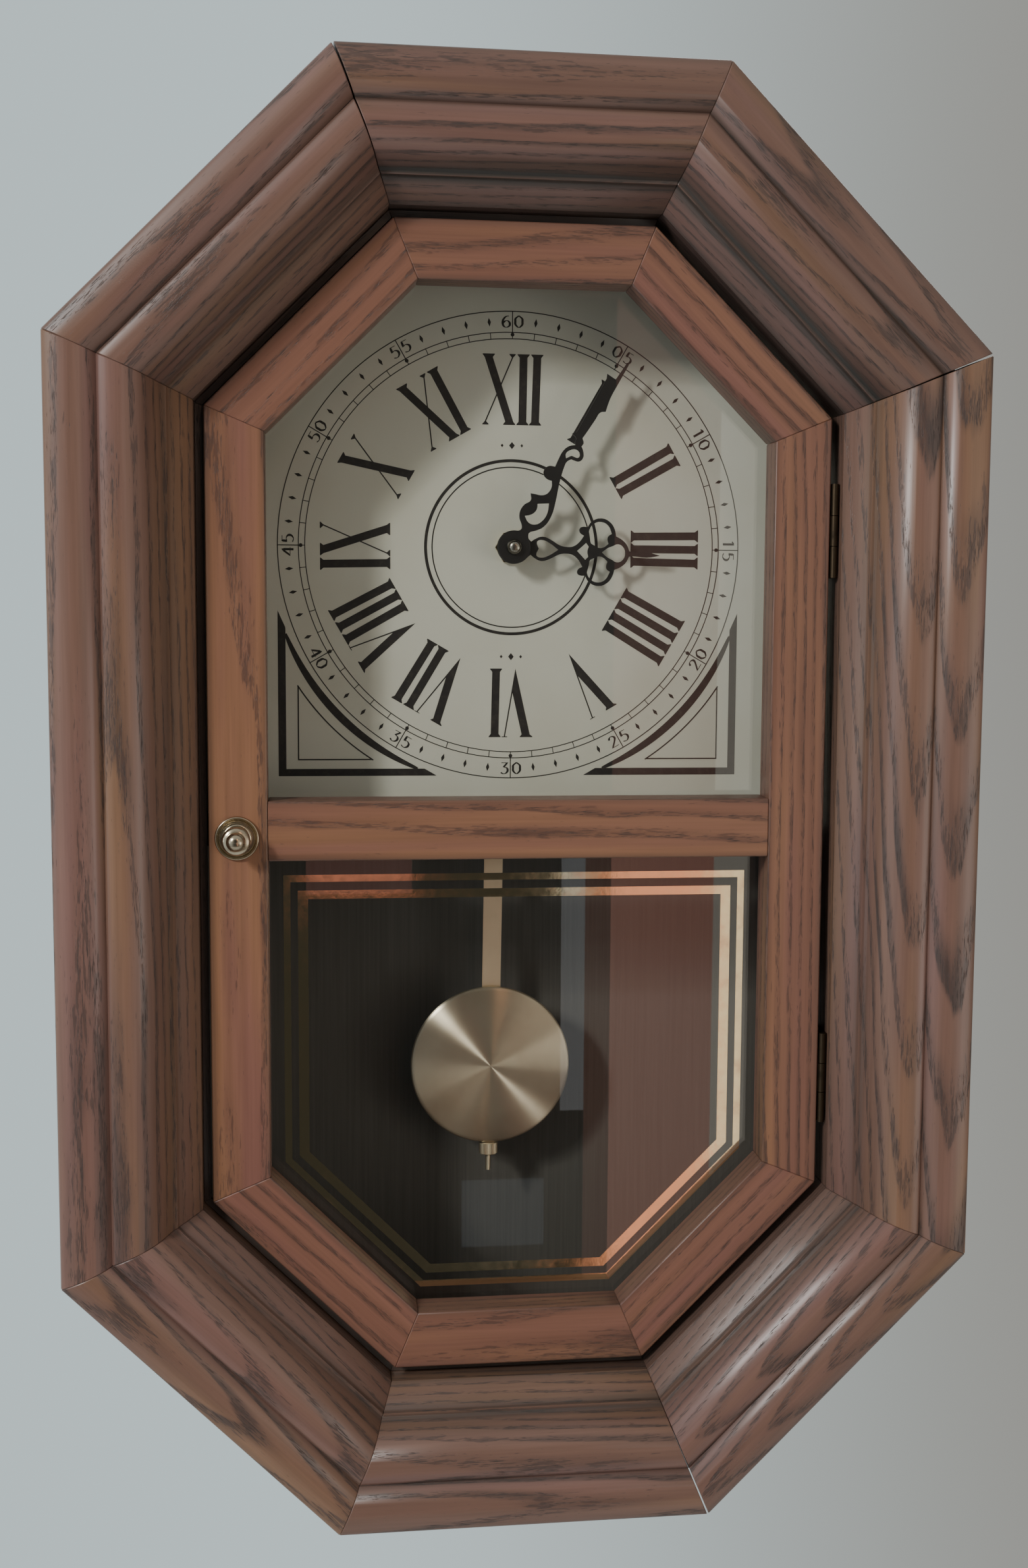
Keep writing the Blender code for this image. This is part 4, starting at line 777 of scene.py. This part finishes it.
def add_stroke(bm, degrees, head, foot, width, serif, front=PRINT_FRONT):
    """A numeral's stroke from its head to its foot (mm across the numeral), with hairline serifs."""
    half, hairline, flare = width / 2, 0.34, 1.5
    wide = half + serif
    print_shape(bm, degrees, (
        (head - wide, NUMERAL_HEAD), (head + wide, NUMERAL_HEAD), (head + wide, NUMERAL_HEAD - hairline),
        (head + half, NUMERAL_HEAD - flare), (foot + half, NUMERAL_FOOT + flare),
        (foot + wide, NUMERAL_FOOT + hairline), (foot + wide, NUMERAL_FOOT), (foot - wide, NUMERAL_FOOT),
        (foot - wide, NUMERAL_FOOT + hairline), (foot - half, NUMERAL_FOOT + flare),
        (head - half, NUMERAL_HEAD - flare), (head - wide, NUMERAL_HEAD - hairline)), front)


def add_vee(bm, degrees, left, right):
    """A V with a pointed foot: its thick stroke on the left and a hairline on the right."""
    thick, thin, serif, hairline = 3.7, 0.55, 1.0, 0.34
    apex = (left + right) / 2 + 0.9
    meet = (right - left - thick - thin) / (right - left)
    crotch = (left + thick + meet * (apex - left), NUMERAL_HEAD + meet * (NUMERAL_FOOT - NUMERAL_HEAD))
    under = NUMERAL_HEAD - hairline
    print_shape(bm, degrees, (
        (left - serif, NUMERAL_HEAD), (left + thick + serif, NUMERAL_HEAD), (left + thick + serif, under),
        (left + thick + 0.2, NUMERAL_HEAD - 1.2), crotch, (right - thin, under),
        (right - thin - serif, under), (right - thin - serif, NUMERAL_HEAD), (right + serif, NUMERAL_HEAD),
        (right + serif, under), (right, under), (apex, NUMERAL_FOOT), (left + 0.2, NUMERAL_HEAD - 1.2),
        (left - serif, under)))


NUMERALS = ("XII", "I", "II", "III", "IIII", "V", "VI", "VII", "VIII", "IX", "X", "XI")
GLYPH_WIDTH = {"I": 4.0, "V": 12.0, "X": 13.6}
GLYPH_SPACE = 1.9


def print_numerals():
    bm = bmesh.new()
    thin_front = PRINT_FRONT - 0.005 * MM
    for hour, text in enumerate(NUMERALS):
        degrees = 30 * hour
        total = sum(GLYPH_WIDTH[g] for g in text) + GLYPH_SPACE * (len(text) - 1)
        at = -total / 2
        for glyph in text:
            width = GLYPH_WIDTH[glyph]
            left, right, middle = at, at + width, at + width / 2
            if glyph == "I":
                add_stroke(bm, degrees, middle + 0.04 * middle, middle - 0.04 * middle, 3.5, 0.95)
            elif glyph == "V":
                add_vee(bm, degrees, left, right)
            else:
                add_stroke(bm, degrees, left + 2.2, right - 2.2, 3.6, 0.9)
                add_stroke(bm, degrees, right - 0.8, left + 0.8, 0.60, 1.1, thin_front)
            at = right + GLYPH_SPACE
    new_piece("dial_numerals", bm, DIAL_INK, "case")


FIGURES = {  # pen lines in a box 0.6 wide and 1 high
    "0": [[(0.30, 1.0), (0.05, 0.76), (0.03, 0.5), (0.05, 0.24), (0.30, 0.0), (0.55, 0.24), (0.57, 0.5),
           (0.55, 0.76), (0.30, 1.0)]],
    "1": [[(0.12, 0.84), (0.32, 1.0, "corner"), (0.32, 0.0)]],
    "2": [[(0.06, 0.78), (0.16, 0.96), (0.34, 1.0), (0.52, 0.86), (0.48, 0.60), (0.04, 0.03, "corner"),
           (0.58, 0.03)]],
    "3": [[(0.08, 0.98), (0.54, 0.98, "corner"), (0.26, 0.60, "corner"), (0.50, 0.52), (0.57, 0.28),
           (0.44, 0.06), (0.22, 0.0), (0.04, 0.12)]],
    "4": [[(0.46, 0.0), (0.46, 1.0, "corner"), (0.02, 0.30, "corner"), (0.60, 0.30)]],
    "5": [[(0.54, 0.98), (0.16, 0.98, "corner"), (0.12, 0.56, "corner"), (0.34, 0.62), (0.55, 0.46),
           (0.54, 0.18), (0.32, 0.0), (0.06, 0.08)]],
    "6": [[(0.50, 0.96), (0.26, 0.90), (0.06, 0.62), (0.03, 0.30), (0.14, 0.06), (0.34, 0.0), (0.54, 0.14),
           (0.56, 0.38), (0.40, 0.56), (0.20, 0.52), (0.05, 0.34)]],
}
FIGURE_HEIGHT = 5.1


def add_pen_line(bm, line, degrees, upside_down, across):
    """A pen line, thicker where it runs up and down."""
    points = smooth_line(line, 4)
    left, right = [], []
    for i, point in enumerate(points):
        run = (points[min(i + 1, len(points) - 1)] - points[max(i - 1, 0)]).normalized()
        half = 0.028 + 0.058 * abs(run.y) ** 1.5
        side = Vector((-run.y, run.x)) * half
        for edge, place in ((left, point + side), (right, point - side)):
            u, v = (place.x - 0.3) * 1.15 * FIGURE_HEIGHT, (place.y - 0.5) * FIGURE_HEIGHT
            u, v = (across + u, v) if not upside_down else (-across - u, -v)
            edge.append(dial_point(FIGURE_RADIUS + v, degrees, u))
    add_ribbon(bm, left, right, PRINT_FRONT, PRINT_BACK)


def print_minute_figures():
    bm = bmesh.new()
    for number in range(5, 65, 5):
        text = "%02d" % number
        upside_down = 20 <= number <= 40
        for figure, across in zip(text, (-2.8, 2.8)):
            for line in FIGURES[figure]:
                add_pen_line(bm, line, 6 * number, upside_down, across)
    new_piece("dial_minute_figures", bm, DIAL_INK, "case")


def print_ornaments():
    """The double circle at the centre, two plain lozenge ornaments, and the framed lower corners."""
    bm = bmesh.new()
    add_ring(bm, 0.371 * RING, 1.35)
    add_ring(bm, 0.343 * RING, 0.55)
    for radius in (0.435 * RING, -0.470 * RING):
        for across, size in ((-4.4, 0.8), (0.0, 1.6), (4.4, 0.8)):
            add_lozenge(bm, radius, 0, across, size, 0.8 * size)
    new_piece("dial_ornaments", bm, DIAL_INK, "case")
    bm = bmesh.new()
    for side in (-1, 1):
        add_spandrel(bm, side)
    new_piece("dial_corner_frames", bm, DIAL_INK, "case")


def add_spandrel(bm, side):
    """Thick lines down the side, along the foot and round the ring, with a thin triangle inside."""
    x_outer, x_inner, z_low, z_high, arc = 103.8, 100.4, 102.4, 99.2, 107.7
    half_arc = 1.75
    start = 180 - math.degrees(math.asin(x_inner / arc))
    end = 180 - math.degrees(math.asin(math.sqrt(arc ** 2 - z_high ** 2) / arc))
    turns = [start + (end - start) * i / 40 for i in range(41)]
    taper = [half_arc * (0.30 + 0.70 * math.sin(math.pi * i / 40) ** 0.6) for i in range(41)]
    add_ribbon(bm, [dial_point(arc - t, side * a) for a, t in zip(turns, taper)],
               [dial_point(arc + t, side * a) for a, t in zip(turns, taper)], PRINT_FRONT, PRINT_BACK)

    def at(x, z):
        return (DIAL_CENTRE.x + side * x * MM, DIAL_CENTRE.y - z * MM)

    top = math.sqrt(arc ** 2 - x_outer ** 2)
    reach = math.sqrt(arc ** 2 - z_low ** 2)
    front = PRINT_FRONT - 0.004 * MM
    add_prism(bm, [at(x_outer, top), at(x_outer, z_low), at(reach, z_low), at(reach + 5.5, z_high),
                   at(x_inner, z_high), at(x_inner, top + 7.5)], front, PRINT_BACK)

    inner, curve, line = 95.3, 113.6, 0.60
    reach = math.sqrt(curve ** 2 - inner ** 2)
    for corners, y in ((((inner, reach), (inner, inner), (inner - line, inner), (inner - line, reach + line)),
                        PRINT_FRONT),
                       (((reach, inner), (inner, inner), (inner, inner - line), (reach + line, inner - line)),
                        front)):
        add_prism(bm, [at(*corner) for corner in corners], y, PRINT_BACK)
    start = 180 - math.degrees(math.atan2(inner, reach))
    end = 180 - math.degrees(math.atan2(reach, inner))
    add_ring(bm, curve, line, 30, *sorted((side * start, side * end)))


# ---- gold lines on the lower glass
def make_gold_lines():
    """Two closed bands on the back of the lower pane: square above, cut corners below."""
    glass_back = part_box("pendulum_glass")[1].y
    y_front, y_back = glass_back + 0.01 * MM, glass_back + 0.05 * MM
    bands = (("outer", ((101.65, 29.6, 215.8), (98.65, 32.7, 212.8))),
             ("inner", ((95.5, 36.4, 209.5), (91.1, 40.2, 205.5))))
    for name, edges in bands:  # each edge: half width, top and foot below the middle, mm
        loops = []
        for half, top, foot in edges:
            set_in = HALF_WIDTH / MM - half
            cut = (CORNER_CUT / MM - set_in * (2 - ROOT_TWO)) - 0.4
            corners = ((-half, top), (half, top), (half, foot - cut), (half - cut, foot), (cut - half, foot),
                       (-half, foot - cut))
            loops.append([(x * MM, -z * MM) for x, z in corners])
        bm = bmesh.new()
        add_ribbon(bm, loops[0], loops[1], y_front, y_back, True)
        new_piece("glass_gold_line_" + name, bm, GOLD_LEAF, "door")


# ---- metalwork
def make_knob():
    low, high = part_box("knob_plate")
    x, _, z = centre_of("knob_plate")
    radius = (high.x - low.x) / 2 / MM
    plate = [(0.0, -0.95, "corner"), (5.2, -0.95), (5.9, -0.5), (6.6, -0.45), (7.4, -0.5), (8.0, -1.15),
             (8.55, -1.55), (9.05, -1.3), (radius, -0.5), (radius, 0.0, "corner"), (0.0, 0.0)]
    bm = bmesh.new()
    add_smooth_turned(bm, plate, 4, (x, high.y, z), 72)
    new_piece("knob_plate_turned", bm, KNOB_BRASS, "door", ["knob_plate"])
    low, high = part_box("door_knob")
    tip = (low.y - high.y) / MM
    knob = [(0.0, tip), (1.7, tip + 0.3), (3.1, tip + 1.2), (3.9, tip + 2.6), (4.1, tip + 4.0, "corner"),
            (4.4, tip + 4.1, "corner"), (5.5, tip + 4.7), (6.0, tip + 6.0), (5.7, tip + 7.4),
            (4.6, tip + 8.8), (3.3, tip + 10.3), (2.9, -2.6), (3.2, -1.2), (3.9, 0.0, "corner"), (0.0, 0.0)]
    bm = bmesh.new()
    add_smooth_turned(bm, knob, 4, (x, high.y, z), 72)
    new_piece("door_knob_turned", bm, KNOB_BRASS, "door", ["door_knob"])


def make_hub():
    """The domed nut, and round bosses over the hands' middles."""
    low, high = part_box("hand_nut")
    x, z = DIAL_CENTRE
    radius, height = (high.x - low.x) / 2, high.y - low.y
    dome = smooth_line([(0.0, 1.0), (0.30, 0.98), (0.58, 0.86), (0.80, 0.62), (0.93, 0.32),
                        (1.0, 0.0, "corner"), (0.0, 0.0)], 5)
    bm = bmesh.new()
    add_turned(bm, [(max(p.x * radius, NEAR_AXIS * MM), -p.y * height) for p in dome], (x, high.y, z))
    new_piece("hand_nut_dome", bm, PEWTER, "minute", ["hand_nut"])
    for body, reach in (("minute", 7.3 * MM), ("hour", 7.35 * MM)):
        low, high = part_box(body + "_hand")
        thickness = high.y - low.y
        bore, back = 3.0 * MM, thickness - 0.1 * MM
        profile = [(bore, 0.0), (reach - 0.15 * MM, 0.0), (reach, 0.15 * MM), (reach, back), (bore, back)]
        bm = bmesh.new()
        add_turned_ring(bm, profile, (x, low.y - 0.02 * MM, z))
        new_piece(body + "_hand_boss", bm, BLACK_HANDS, body)


def make_pendulum():
    low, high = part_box("pendulum_bob")
    x, _, z = centre_of("pendulum_bob")
    radius = (high.x - low.x) / 2 / MM
    face = [(0.0, 0.0), (9.0, 0.08), (18.0, 0.40), (26.0, 1.0), (32.0, 1.75), (radius - 1.5, 2.35, "corner"),
            (radius - 0.5, 2.75), (radius, 3.4), (radius, 4.2), (radius - 0.6, 4.75, "corner"), (0.0, 4.75)]
    bm = bmesh.new()
    add_smooth_turned(bm, face, 8, (x, low.y, z), 144)
    new_piece("pendulum_bob_spun", bm, BOB_BRONZE, "bob", ["pendulum_bob"])
    tilt = math.atan2(x - centre_of("pendulum_hook")[0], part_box("pendulum_hook")[1].z - z)
    add_guide_strap(Vector((x, low.y, z)), tilt, high.y)
    make_rating_nut()


def make_rating_nut():
    low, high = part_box("rating_nut")
    x, y, _ = centre_of("rating_nut")
    centre = Vector((x, y, low.z))
    height = (high.z - low.z) / MM
    wide = (high.x - low.x) / 2 / MM - 0.2
    bore, chamfer, rib, ribs = 1.45, 0.45, 0.16, 36
    profile = [(bore, 0.0), (wide - chamfer, 0.0), (wide, chamfer), (wide, height - chamfer),
               (wide - chamfer, height), (bore, height)]
    rings = []
    for radius, up in profile:
        ring = []
        for i in range(ribs * 2):
            turn = math.pi * i / ribs
            out = (radius + (rib if (i % 2 and radius == wide) else 0.0)) * MM
            ring.append(centre + Vector((out * math.cos(turn), out * math.sin(turn), up * MM)))
        rings.append(ring)
    bm = bmesh.new()
    add_loft(bm, rings)
    new_piece("rating_nut_knurled", bm, PALE_BRASS, "rating_nut", ["rating_nut"])


def add_guide_strap(centre, tilt, back):
    """A strap bent round the rod on the bob's back, so that the bob can slide on it."""
    outer, channel, foot = 7.5 * MM, 4.7 * MM, 4.8 * MM
    inside = back - 1.2 * MM - centre.y
    profile = [(-outer, foot), (-channel, foot), (-channel, inside), (channel, inside), (channel, foot),
               (outer, foot), (outer, back - centre.y), (-outer, back - centre.y)]
    along = Vector((math.sin(tilt), 0, math.cos(tilt)))
    across = Vector((math.cos(tilt), 0, -math.sin(tilt)))
    bm = bmesh.new()
    add_loft(bm, [[centre + across * u + along * up + Vector((0, y, 0)) for u, y in profile]
                  for up in (-6 * MM, 6 * MM)])
    new_piece("bob_guide_strap", bm, PALE_BRASS, "bob")


# ---- fasteners and small hardware
def add_screw_head(bm, place, radius, height, facing):
    """A domed screw head; facing is the +Y or -Y sign that the head points to."""
    dome = [(NEAR_AXIS, height), (0.35 * radius, 0.97 * height), (0.7 * radius, 0.75 * height),
            (0.93 * radius, 0.35 * height), (radius, 0.0), (NEAR_AXIS, 0.0)]
    add_turned(bm, [(r * MM, facing * h * MM) for r, h in dome], place, count=28)


SCREW_INSET = 23.5 * MM  # of the back panel's screws
CLIP_INSET = 74.5 * MM  # of the glazing clips


def make_back_screws():
    """Pan-head screws that hold the back panel to the case boards."""
    bm = bmesh.new()
    ring, long_side = octagon(SCREW_INSET), 0.2   # metres; a side this long has two screws
    for a, b in zip(ring, ring[1:] + ring[:1]):
        for share in (0.25, 0.75) if (b - a).length > long_side else (0.5,):
            flat = a.lerp(b, share)
            add_screw_head(bm, (flat.x, -1.0 * MM, flat.y), 2.6, 0.9, 1)
    new_piece("back_panel_screws", bm, STEEL, "case")


def make_glazing_clips():
    """Small turn-clips and screws that hold the panes in the door's rebate."""
    clips, heads = bmesh.new(), bmesh.new()
    side_x, end_z = HALF_WIDTH - CLIP_INSET, HALF_HEIGHT - CLIP_INSET
    spots = [(side * side_x, z, -side, 0) for side in (-1, 1) for z in (0.165, 0.055, -0.065, -0.135)]
    spots += [(x, end * end_z, 0, -end) for x in (-0.030, 0.030) for end in (1, -1)]
    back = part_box("door_left_stile")[1].y
    eye = 3.4 * MM
    for x, z, inward_x, inward_z in spots:
        centre, inward = Vector((x, z)), Vector((inward_x, inward_z))
        across = Vector((-inward.y, inward.x))
        outline = []
        for i in range(9):
            turn = math.pi / 2 + math.pi * i / 8
            outline.append(centre + inward * (eye * math.cos(turn)) + across * (eye * math.sin(turn)))
        for u, v in ((7.0, -3.0), (8.0, -2.0), (8.0, 2.0), (7.0, 3.0)):
            outline.append(centre + inward * (u * MM) + across * (v * MM))
        add_prism(clips, [(p.x, p.y) for p in outline], back + 0.05 * MM, back + 0.75 * MM)
        add_screw_head(heads, (centre.x, back + 0.70 * MM, centre.y), 1.9, 0.7, 1)
    new_piece("glazing_clips", clips, PALE_BRASS, "door")
    new_piece("glazing_clip_screws", heads, PALE_BRASS, "door")


def make_movement_details():
    low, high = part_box("movement_cover")
    screws, inset = bmesh.new(), 4 * MM
    for x in (low.x + inset, high.x - inset):
        for z in (low.z + inset, high.z - inset):
            add_screw_head(screws, (x, high.y - 0.02 * MM, z), 2.2, 0.8, 1)
    new_piece("movement_cover_screws", screws, STEEL, "case")

    _, y, z = centre_of("battery")
    bm = bmesh.new()
    button = ((NEAR_AXIS, 0.0), (2.6, 0.0), (2.75, 0.3), (2.75, 1.0), (2.4, 1.25), (NEAR_AXIS, 1.25))
    add_turned(bm, [(r * MM, h * MM) for r, h in button], (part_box("battery")[1].x, y, z), axis="X",
               count=32)
    new_piece("battery_terminal", bm, STEEL, "case")


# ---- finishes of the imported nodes
CAD_FINISH = {
    PLYWOOD: ["back_panel"], FIBREBOARD: ["dial_board"], DIAL_PAPER: ["dial"],
    CLEAR_GLASS: ["dial_glass", "pendulum_glass"],
    BLACK_HANDS: ["hour_hand", "minute_hand"],
    BRASS: ["dial_nut", "hour_wheel", "minute_wheel", "centre_wheel", "third_wheel"],
    PALE_BRASS: ["pendulum_rod"],
    AGED_BRASS: ["hinge_upper_case_leaf", "hinge_upper_door_leaf", "hinge_lower_case_leaf",
                 "hinge_lower_door_leaf"],
    STEEL: ["hanger_plate", "door_strike", "rotor"],
    BLACK_PLASTIC: ["movement_case", "movement_cover", "pendulum_hook", "speaker", "catch_magnet"],
    WHITE_PLASTIC: ["set_knob", "chime_switch", "volume_switch"],
    COPPER: ["drive_coil"], JACKET: ["battery"],
}
EASED_EDGES = {  # width in mm
    "movement_case": 0.6, "movement_cover": 0.35, "hanger_plate": 0.3, "door_strike": 0.3,
    "catch_magnet": 0.2, "chime_switch": 0.3, "volume_switch": 0.3, "back_panel": 0.4,
}


def finish_packed_nodes():
    for material, names in CAD_FINISH.items():
        for name in names:
            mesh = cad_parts[name].data
            mesh.materials.clear()
            mesh.materials.append(material)
    for name, width in EASED_EDGES.items():
        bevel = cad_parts[name].modifiers.new("eased_edges", "BEVEL")
        bevel.width = width * MM
        bevel.segments = 2
        bevel.limit_method = "ANGLE"
        bevel.angle_limit = math.radians(40)
        bevel.harden_normals = True


# ---- camera, light and floor
CAMERA_PLACE = Vector((-0.0873, -0.8977, 0.0920))
CAMERA_LENS = 43.48
CAMERA_SHIFT = (-0.0406, 0.0112)
CAMERA_TURN = (-0.009, 0.109, 0.138)  # roll, pitch and yaw of the view, radians


def make_camera():
    data = bpy.data.cameras.new("camera")
    data.lens = CAMERA_LENS
    data.shift_x, data.shift_y = CAMERA_SHIFT
    data.clip_start = 0.01
    camera = add_object("camera", data)
    bpy.context.scene.camera = camera
    roll, pitch, yaw = CAMERA_TURN
    turn = Matrix.Rotation(roll, 3, "Z") @ Matrix.Rotation(pitch, 3, "X") @ Matrix.Rotation(yaw, 3, "Y")
    facing = Matrix(((1, 0, 0), (0, 0, -1), (0, 1, 0)))
    camera.matrix_world = Matrix.Translation(CAMERA_PLACE) @ (facing @ turn.transposed()).to_4x4()


def add_area_light(name, place, target, size, power, colour):
    """A rectangular light from which the object is lit; cameras don't see it."""
    data = bpy.data.lights.new(name, "AREA")
    data.shape = "RECTANGLE"
    data.size, data.size_y = size
    data.energy = power
    data.color = colour
    lamp = add_object(name, data)
    lamp.location = place
    lamp.rotation_euler = (Vector(target) - Vector(place)).to_track_quat("-Z", "Y").to_euler()
    lamp.visible_camera = False


ROOM_Y = -2.2  # the far wall of the room, behind the camera


def add_room_panel(name, left, right, bottom, top, brightness, colour):
    """A part of the room that the panes and the gold lines mirror."""
    width, height = right - left, top - bottom
    middle = ((left + right) / 2, ROOM_Y, (bottom + top) / 2)
    add_area_light(name, middle, (middle[0], 0, middle[2]), (width, height),
                   brightness * math.pi * width * height, colour)


def make_room():
    """World light: a pale wall round the clock, brighter on its left and darker on its right, where the
    darker part is painted shadow of the clock on the wall, and a dim room in front of it.
    """
    world = bpy.data.worlds.new("room")
    world.use_nodes = True
    bpy.context.scene.world = world
    s = NodeTree(world.node_tree)
    towards = s.node("SeparateXYZ", {0: s.place("Generated")})
    x, y, z = towards.outputs
    # Painted shadow: the wall's colour darkens towards the right, standing for the clock's shadow on the
    # wall; it also gives less light from that side.
    wall = s.mix(s.step(x, -0.02, 0.40), (0.60, 0.71, 0.73), (0.32, 0.315, 0.29))
    room = s.mix(s.step(x, -0.75, -0.15), (0.62, 0.68, 0.72), (0.042, 0.042, 0.038))
    room = s.mix(s.step(x, 0.25, 0.75), room, (0.42, 0.37, 0.33))
    room = s.mix(s.step(z, 0.30, 0.75), room, (0.55, 0.56, 0.55))
    room = s.mix(s.step(z, -0.85, -0.45), (0.26, 0.21, 0.17), room)
    sky = s.tree.nodes["Background"]
    s.put(sky.inputs[0], s.mix(s.step(y, -0.30, 0.20), room, wall))
    sky.inputs[1].default_value = 1.0


LAMPS = (  # name, place, aim, size, watts, colour
    ("window", (-1.62, -1.72, 1.12), (0, -0.06, 0.02), (0.28, 0.42), 33, (1.0, 0.985, 0.96)),
    ("window_glint", (-1.60, -1.66, 1.24), (0, -0.06, -0.10), (0.07, 0.07), 6.0, (1.0, 0.99, 0.97)),
    ("left_window", (-1.10, -0.60, 0.02), (0.14, -0.12, 0.06), (0.12, 0.36), 0.7, (0.86, 0.92, 1.0)),
    ("right_wall", (1.95, -1.75, -0.42), (0, -0.03, -0.12), (0.70, 1.00), 7.0, (1.0, 0.97, 0.92)),
    ("hall_lamp", (0.42, -1.95, 0.95), (0, -0.03, -0.12), (0.20, 0.35), 1.0, (1.0, 0.56, 0.34)),
    ("behind", (1.2, 2.2, 1.6), (0, 0, 0), (1.5, 1.5), 20, (1.0, 0.98, 0.96)),
)
WOOD, PALE = (1.0, 0.44, 0.33), (1.0, 0.90, 0.76)
ROOM_PANELS = (  # name, left, right, bottom, top, brightness, colour
    ("brown_door", 0.375, 0.541, -1.30, -0.25, 1.05, WOOD),
    ("brown_door_top", 0.375, 0.541, -0.25, 0.80, 0.35, WOOD),
    ("door_frame", 0.541, 0.640, -1.30, 0.80, 1.05, PALE),
    ("door_edge", 0.334, 0.375, -1.30, -0.25, 0.30, (1.0, 0.42, 0.30)),
    ("far_frame", 0.296, 0.334, -0.73, -0.25, 0.62, (0.92, 0.96, 1.0)),
    ("far_shelf", -0.104, 0.060, -0.375, -0.25, 0.42, (1.0, 0.36, 0.30)),
    ("low_window", 0.139, 0.271, -0.95, -0.84, 0.22, (0.70, 0.85, 1.0)),
    ("pale_wall", 0.80, 1.70, -0.60, 1.10, 0.75, (1.0, 0.95, 0.88)),
)
FLOOR_Z, FLOOR_RADIUS = -1.35, 1.6


def make_stage():
    make_room()
    for lamp in LAMPS:
        add_area_light(*lamp)
    for panel in ROOM_PANELS:
        add_room_panel(*panel)

    bm = bmesh.new()
    bmesh.ops.create_circle(bm, cap_ends=True, radius=FLOOR_RADIUS, segments=96)
    mesh = bpy.data.meshes.new("floor")
    bm.to_mesh(mesh)
    bm.free()
    floor = add_object("floor", mesh)
    floor.location = (0, 0, FLOOR_Z)
    s = Surface("floor_paint", Roughness=0.7)
    cloud = s.noise(s.place(), 3, 3.0)
    mesh.materials.append(s.finish(Base_Color=s.mix(cloud, (0.74, 0.75, 0.76), (0.70, 0.71, 0.72))))


make_camera()
make_stage()
make_oak()
print_minute_track()
print_numerals()
print_minute_figures()
print_ornaments()
make_gold_lines()
make_knob()
make_hub()
make_pendulum()
make_back_screws()
make_glazing_clips()
make_movement_details()
finish_packed_nodes()
